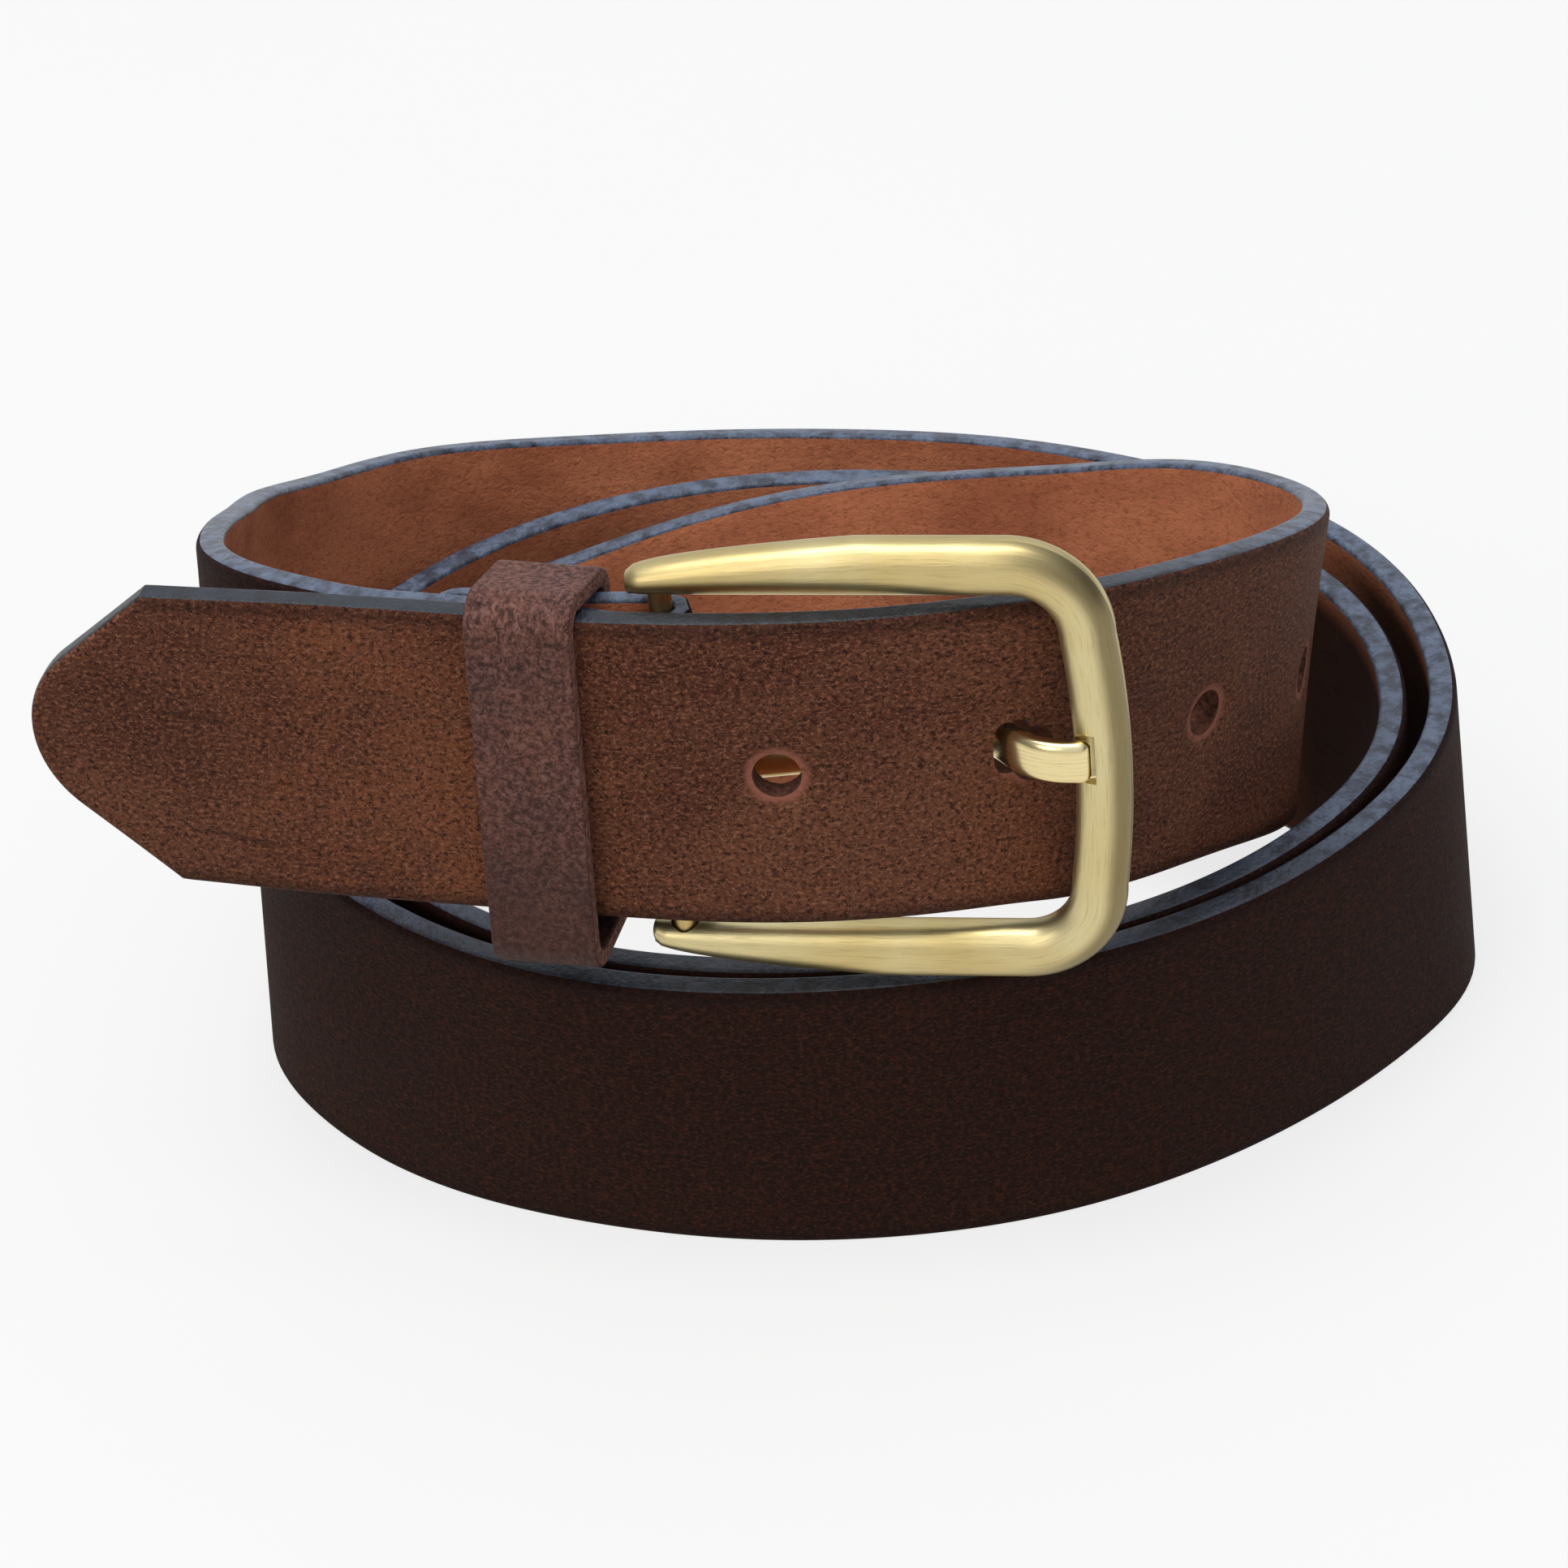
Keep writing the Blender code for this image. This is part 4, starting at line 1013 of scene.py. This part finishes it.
# half the straight length of the back, and the points along each stretch of the loop
KEEPER_BACK_HALF = 14.0
KEEPER_ROWS = 14
KEEPER_FRONT_ROWS = 28
KEEPER_SHARP_ANGLE = 45
SEAM_Z = (KEEPER_TOP[0] + KEEPER_BOTTOM[0]) / 2
WIRE_RADIUS = 0.3
STAPLE_HALF = 2.5
STAPLE_TURN = 0.7
STITCH_PITCH = 4.2
STITCH_COUNT = 8
STITCH_U = {"front": -4.9, "rear": -22.2}
STITCH_END = 1.4
GROOVE = 0.75
WIRE_STEP = 0.12
WIRE_SIDES = 16
WIRE_SMOOTHING = 3
THREAD_STRANDS = 3
STRAND_DEPTH = 0.26
STRAND_TWIST = 2.6
STITCH_HOLE_SIDES = 12
WIRE_SHARP_ANGLE = 60
THREAD_SHARP_ANGLE = 70


def keeper_path():
    """The loop's middle line in the (v, z) plane, from seam to seam."""
    half = KEEPER_THICK / 2
    back, front = KEEPER_BACK - half, KEEPER_FRONT + half
    radius = KEEPER_CORNER + half
    corners = (
        (back + radius, KEEPER_TOP[0] + half - radius, 180),
        (front - radius, KEEPER_TOP[1] + half - radius, 90),
        (front - radius, KEEPER_BOTTOM[1] - half + radius, 0),
        (back + radius, KEEPER_BOTTOM[0] - half + radius, -90),
    )
    steps = np.linspace(KEEPER_SEAM / 2, KEEPER_BACK_HALF, KEEPER_ROWS)
    points = [(back, SEAM_Z + step) for step in steps]
    for centre_v, centre_z, start in corners:
        for turn in np.linspace(0, 90, KEEPER_ROWS):
            angle = math.radians(start - turn)
            across, above = radius * math.cos(angle), radius * math.sin(angle)
            points.append((centre_v + across, centre_z + above))
        if start == 90:
            top, bottom = points[-1][1], KEEPER_BOTTOM[1] - half + radius
            points += [(front, z) for z in np.linspace(top, bottom, KEEPER_FRONT_ROWS)[1:-1]]
    points += [(back, SEAM_Z - step) for step in steps[::-1]]
    return np.array(points)


def make_keeper(grain, raw):
    """The loop, raw on its two cut sides, with holes for the staple's legs."""
    path = keeper_path()
    ahead = directions(path)
    r = KEEPER_ROUND
    half_w, half_t = KEEPER_WIDTH / 2, KEEPER_THICK / 2
    shape, sides = [], []
    for corner_a, corner_b, start in ((1, 1, 0), (-1, 1, 90), (-1, -1, 180), (1, -1, 270)):
        for turn in KEEPER_ROUND_TURNS:
            angle = math.radians(start + turn)
            a = corner_a * (half_w - r) + r * math.cos(angle)
            b = corner_b * (half_t - r) + r * math.sin(angle)
            shape.append((a, b))
            # the strip after this point: a face, or the raw cut side of the loop
            sides.append(1 if start in (90, 270) and turn == 90 else 0)
        if start in (0, 180):
            sign = 1 if start == 0 else -1
            flat = half_w - r
            shape += [(sign * share * flat, sign * half_t) for share in KEEPER_COLUMNS]
            sides += [0] * len(KEEPER_COLUMNS)
    rings = []
    for (v, z), (dv, dz) in zip(path, ahead):
        rings.append([tuple(on_line(KEEPER_U + a, v - b * dz, z + b * dv)) for a, b in shape])
    arounds = [a for a, b in shape] + [shape[0][0]]
    alongs = lengths_along(path)
    keeper = add_object("loose_keeper", skin(rings, alongs, arounds, sides), grain, raw)
    for side in (1, -1):
        height = SEAM_Z + side * STAPLE_HALF
        start = on_line(KEEPER_U, KEEPER_BACK - KEEPER_THICK - 1, height)
        end = on_line(KEEPER_U, KEEPER_BACK + 1, height)
        change(keeper, cylinder(start, end, WIRE_RADIUS + GAP, WIRE_SIDES), raw)
    finish(keeper, KEEPER_SHARP_ANGLE, "keeper_body", "keeper")


def wire(name, u, corners, strands, mat):
    """A wire or a twisted thread, bent square through (v, z) corners at one u."""
    path = []
    corners = np.array(corners, float)
    for first, second in zip(corners, corners[1:]):
        steps = max(int(np.linalg.norm(second - first) / WIRE_STEP), 2)
        path += [first + (second - first) * k / steps for k in range(steps)]
    path = np.array(path + [corners[-1]])
    # square corners are drawn in a little so that the wire bends round them
    for _ in range(WIRE_SMOOTHING):
        path[1:-1] = (path[:-2] + 2 * path[1:-1] + path[2:]) / 4
    alongs = lengths_along(path)
    rings = []
    for (v, z), (dv, dz), at in zip(path, directions(path), alongs):
        ring = []
        for corner in range(WIRE_SIDES):
            angle = 2 * math.pi * corner / WIRE_SIDES
            lobe = abs(math.cos(strands / 2 * (angle + at * STRAND_TWIST))) if strands else 1.0
            radius = WIRE_RADIUS * (1 - STRAND_DEPTH + STRAND_DEPTH * lobe)
            a, b = radius * math.cos(angle), radius * math.sin(angle)
            ring.append(tuple(on_line(u + a, v - b * dz, z + b * dv)))
        rings.append(ring)
    arounds = [WIRE_RADIUS * 2 * math.pi * k / WIRE_SIDES for k in range(WIRE_SIDES + 1)]
    return add_object(name, skin(rings, alongs, arounds), mat)


def make_staple(mat):
    """The wire that closes the keeper, its two ends turned in towards each other."""
    inside = KEEPER_BACK + GAP + WIRE_RADIUS
    outside = KEEPER_BACK - KEEPER_THICK - GAP - WIRE_RADIUS
    corners = [
        (inside, SEAM_Z + STAPLE_TURN), (inside, SEAM_Z + STAPLE_HALF),
        (outside, SEAM_Z + STAPLE_HALF), (outside, SEAM_Z - STAPLE_HALF),
        (inside, SEAM_Z - STAPLE_HALF), (inside, SEAM_Z - STAPLE_TURN),
    ]
    staple = wire("staple_wire", KEEPER_U, corners, 0, mat)
    finish(staple, WIRE_SHARP_ANGLE, "keeper_body", "keeper_staple")


def stitch_heights():
    """The heights of one row's holes."""
    return [FOLD_Z + STITCH_PITCH * (k - (STITCH_COUNT - 1) / 2) for k in range(STITCH_COUNT)]


def stitch_room(u):
    """The punched holes and the groove that one row of stitches lies in."""
    grain = tail_faces(-u)[1]
    room = WIRE_RADIUS + GAP
    heights = stitch_heights()
    tools = []
    for height in heights:
        start = on_line(u, FOLD_GRAIN_RADIUS - GROOVE / 2, height)
        tools.append(cylinder(start, on_line(u, grain - room, height), room, STITCH_HOLE_SIDES))
    tools.append(box(
        on_line(u, FOLD_GRAIN_RADIUS - GROOVE / 2 + GAP / 3, FOLD_Z),
        2 * room, GROOVE + GAP * 2 / 3, heights[-1] - heights[0] + 2 * room,
    ))
    return tools


def make_thread(row, mat):
    """One row's thread, passing from face to face through each hole."""
    u = STITCH_U[row]
    front = FOLD_GRAIN_RADIUS - GROOVE + GAP + WIRE_RADIUS
    back = tail_faces(-u)[1] - GAP - WIRE_RADIUS
    heights = stitch_heights()
    corners = [(back, heights[0] - STITCH_END)]
    side, other = back, front
    for height in heights:
        corners += [(side, height), (other, height)]
        side, other = other, side
    corners.append((side, heights[-1] + STITCH_END))
    thread = wire(row + "_thread", u, corners, THREAD_STRANDS, mat)
    finish(thread, THREAD_SHARP_ANGLE, "belt", "stitch_row_" + row)


# ---------------------------------------------------------------- light and camera
ELEVATION = math.radians(31.0)
ROLL = math.radians(4.2)
TARGET_HEIGHT = 25.0
TARGET = Vector((*CENTRE_SHIFT[:2], TARGET_HEIGHT)) * MM
DISTANCE = 0.9
SENSOR = 36.0
LENS = 190.994
# the room's light from straight below to straight above
ROOM_FLOOR = (0.16, 0.15, 0.14, 1)
ROOM_LOW = (0.26, (0.52, 0.49, 0.45, 1))
ROOM_LEVEL = (0.5, (0.70, 0.70, 0.71, 1))
ROOM_CEILING = (1.15, 1.24, 1.4, 1)
# its strength ahead and to either side
ROOM_SIDES = (0.35, 0.95, 0.88, 0.25)
FLOOR_HALF = 5000.0
FLOOR_DROP = 0.0001
FLOOR_GLOW = 0.76
FLOOR_TONES = (0.158, 0.153, 0.142, 1), (0.163, 0.158, 0.147, 1)


def add_camera():
    """A long lens straight in front, looking down at the coil and rolled a little."""
    ahead = Vector((0, math.cos(ELEVATION), -math.sin(ELEVATION)))
    level_up = Vector((0, math.sin(ELEVATION), math.cos(ELEVATION)))
    level_right = Vector((1, 0, 0))
    right = level_right * math.cos(ROLL) - level_up * math.sin(ROLL)
    up = level_right * math.sin(ROLL) + level_up * math.cos(ROLL)
    camera = bpy.data.objects.new("camera", bpy.data.cameras.new("camera"))
    bpy.context.scene.collection.objects.link(camera)
    place = Matrix((right, up, -ahead)).transposed().to_4x4()
    place.translation = TARGET - ahead * DISTANCE
    camera.matrix_world = place
    camera.data.sensor_width = SENSOR
    camera.data.lens = LENS
    camera.data.clip_start = 0.01
    bpy.context.scene.camera = camera


def add_world():
    """A soft room, brighter and bluer above, darker to either side."""
    world = bpy.data.worlds.new("studio")
    bpy.context.scene.world = world
    world.use_nodes = True
    n = Nodes(world.node_tree)
    aside, _, above = n.split(n.spots.outputs["Generated"])
    height = n.node("MapRange", From_Min=-1.0, Value=above)
    ramp = n.node("ValToRGB", Fac=height.outputs[0])
    stops = ramp.color_ramp.elements
    stops[0].color = ROOM_FLOOR
    stops[1].color = ROOM_CEILING
    for position, colour in (ROOM_LOW, ROOM_LEVEL):
        stops.new(position).color = colour
    background = n.tree.nodes["Background"]
    # the darker sides shade the flanks of the rounded brass
    strength = n.band(n.math("ABSOLUTE", aside), *ROOM_SIDES)
    n.put_all(background, {"Color": ramp.outputs[0], "Strength": strength})


def add_light(name, place, size, watts, colour):
    """A round soft light that faces the belt."""
    light = bpy.data.lights.new(name, "AREA")
    light.shape = "DISK"
    light.size = size
    light.energy = watts
    light.color = colour
    lamp = bpy.data.objects.new(name, light)
    bpy.context.scene.collection.objects.link(lamp)
    lamp.location = place
    lamp.rotation_euler = (TARGET - Vector(place)).to_track_quat("-Z", "Y").to_euler()


def add_floor():
    """A plain pale floor that glows a little, as a lit studio sweep does."""
    mesh_bm = bmesh.new()
    bmesh.ops.create_grid(mesh_bm, x_segments=1, y_segments=1, size=FLOOR_HALF)
    f = Finish("floor_pale")
    grain = f.noise(f.spot("Object"), 60, 3, 0.5)
    tone = f.mix(grain, *FLOOR_TONES)
    pale = f.done(
        tone, 0.9, Specular_IOR_Level=0.0, Emission_Color=(1, 1, 1, 1), Emission_Strength=FLOOR_GLOW
    )
    floor = add_object("pale_floor", mesh_bm, pale)
    floor.location.z = -FLOOR_DROP
    # the floor's own light would lift the low turns, which are dark in the shade
    floor.visible_diffuse = False


# ---------------------------------------------------------------- assembly
def main():
    raw_strap = raw_leather("strap_raw", shade(58, 32, 22), shade(104, 62, 44))
    raw_keeper = raw_leather("keeper_raw", shade(96, 58, 48), shade(150, 104, 90))
    # the frame's flank share paints shade on the front bar's outer flank
    brass = aged_brass(
        "frame_brass", shade(216, 202, 154), shade(200, 178, 120), shade(104, 86, 50), 0.30, 1.0,
        flank=0.75,
    )
    bare_brass = aged_brass(
        "notch_brass", shade(222, 208, 158), shade(196, 174, 116), shade(110, 90, 54), 0.22, 0.3
    )
    pin_brass = aged_brass(
        "heel_brass", shade(206, 180, 120), shade(160, 132, 84), shade(80, 62, 40), 0.34, 0.8
    )
    prong_brass = aged_brass(
        "polished_brass", shade(236, 218, 164), shade(214, 190, 132), shade(84, 66, 38), 0.14, 0.3
    )
    thread = twisted_thread()

    make_strap((grain_leather(), edge_paint(), flesh_leather()), raw_strap)
    make_frame(brass, bare_brass)
    make_heel_pin(pin_brass)
    make_prong(prong_brass)
    make_keeper(keeper_grain(), raw_keeper)
    make_staple(bright_steel())
    for row in STITCH_U:
        make_thread(row, thread)

    add_floor()
    add_world()
    add_light("overhead", (-0.25, -0.25, 1.3), 0.9, 9.0, (0.95, 0.98, 1.0))
    add_light("front_fill", (-0.9, -1.1, 0.75), 0.8, 4.0, (1.0, 0.96, 0.92))
    add_camera()
    bpy.context.scene.view_settings.view_transform = "Standard"


main()
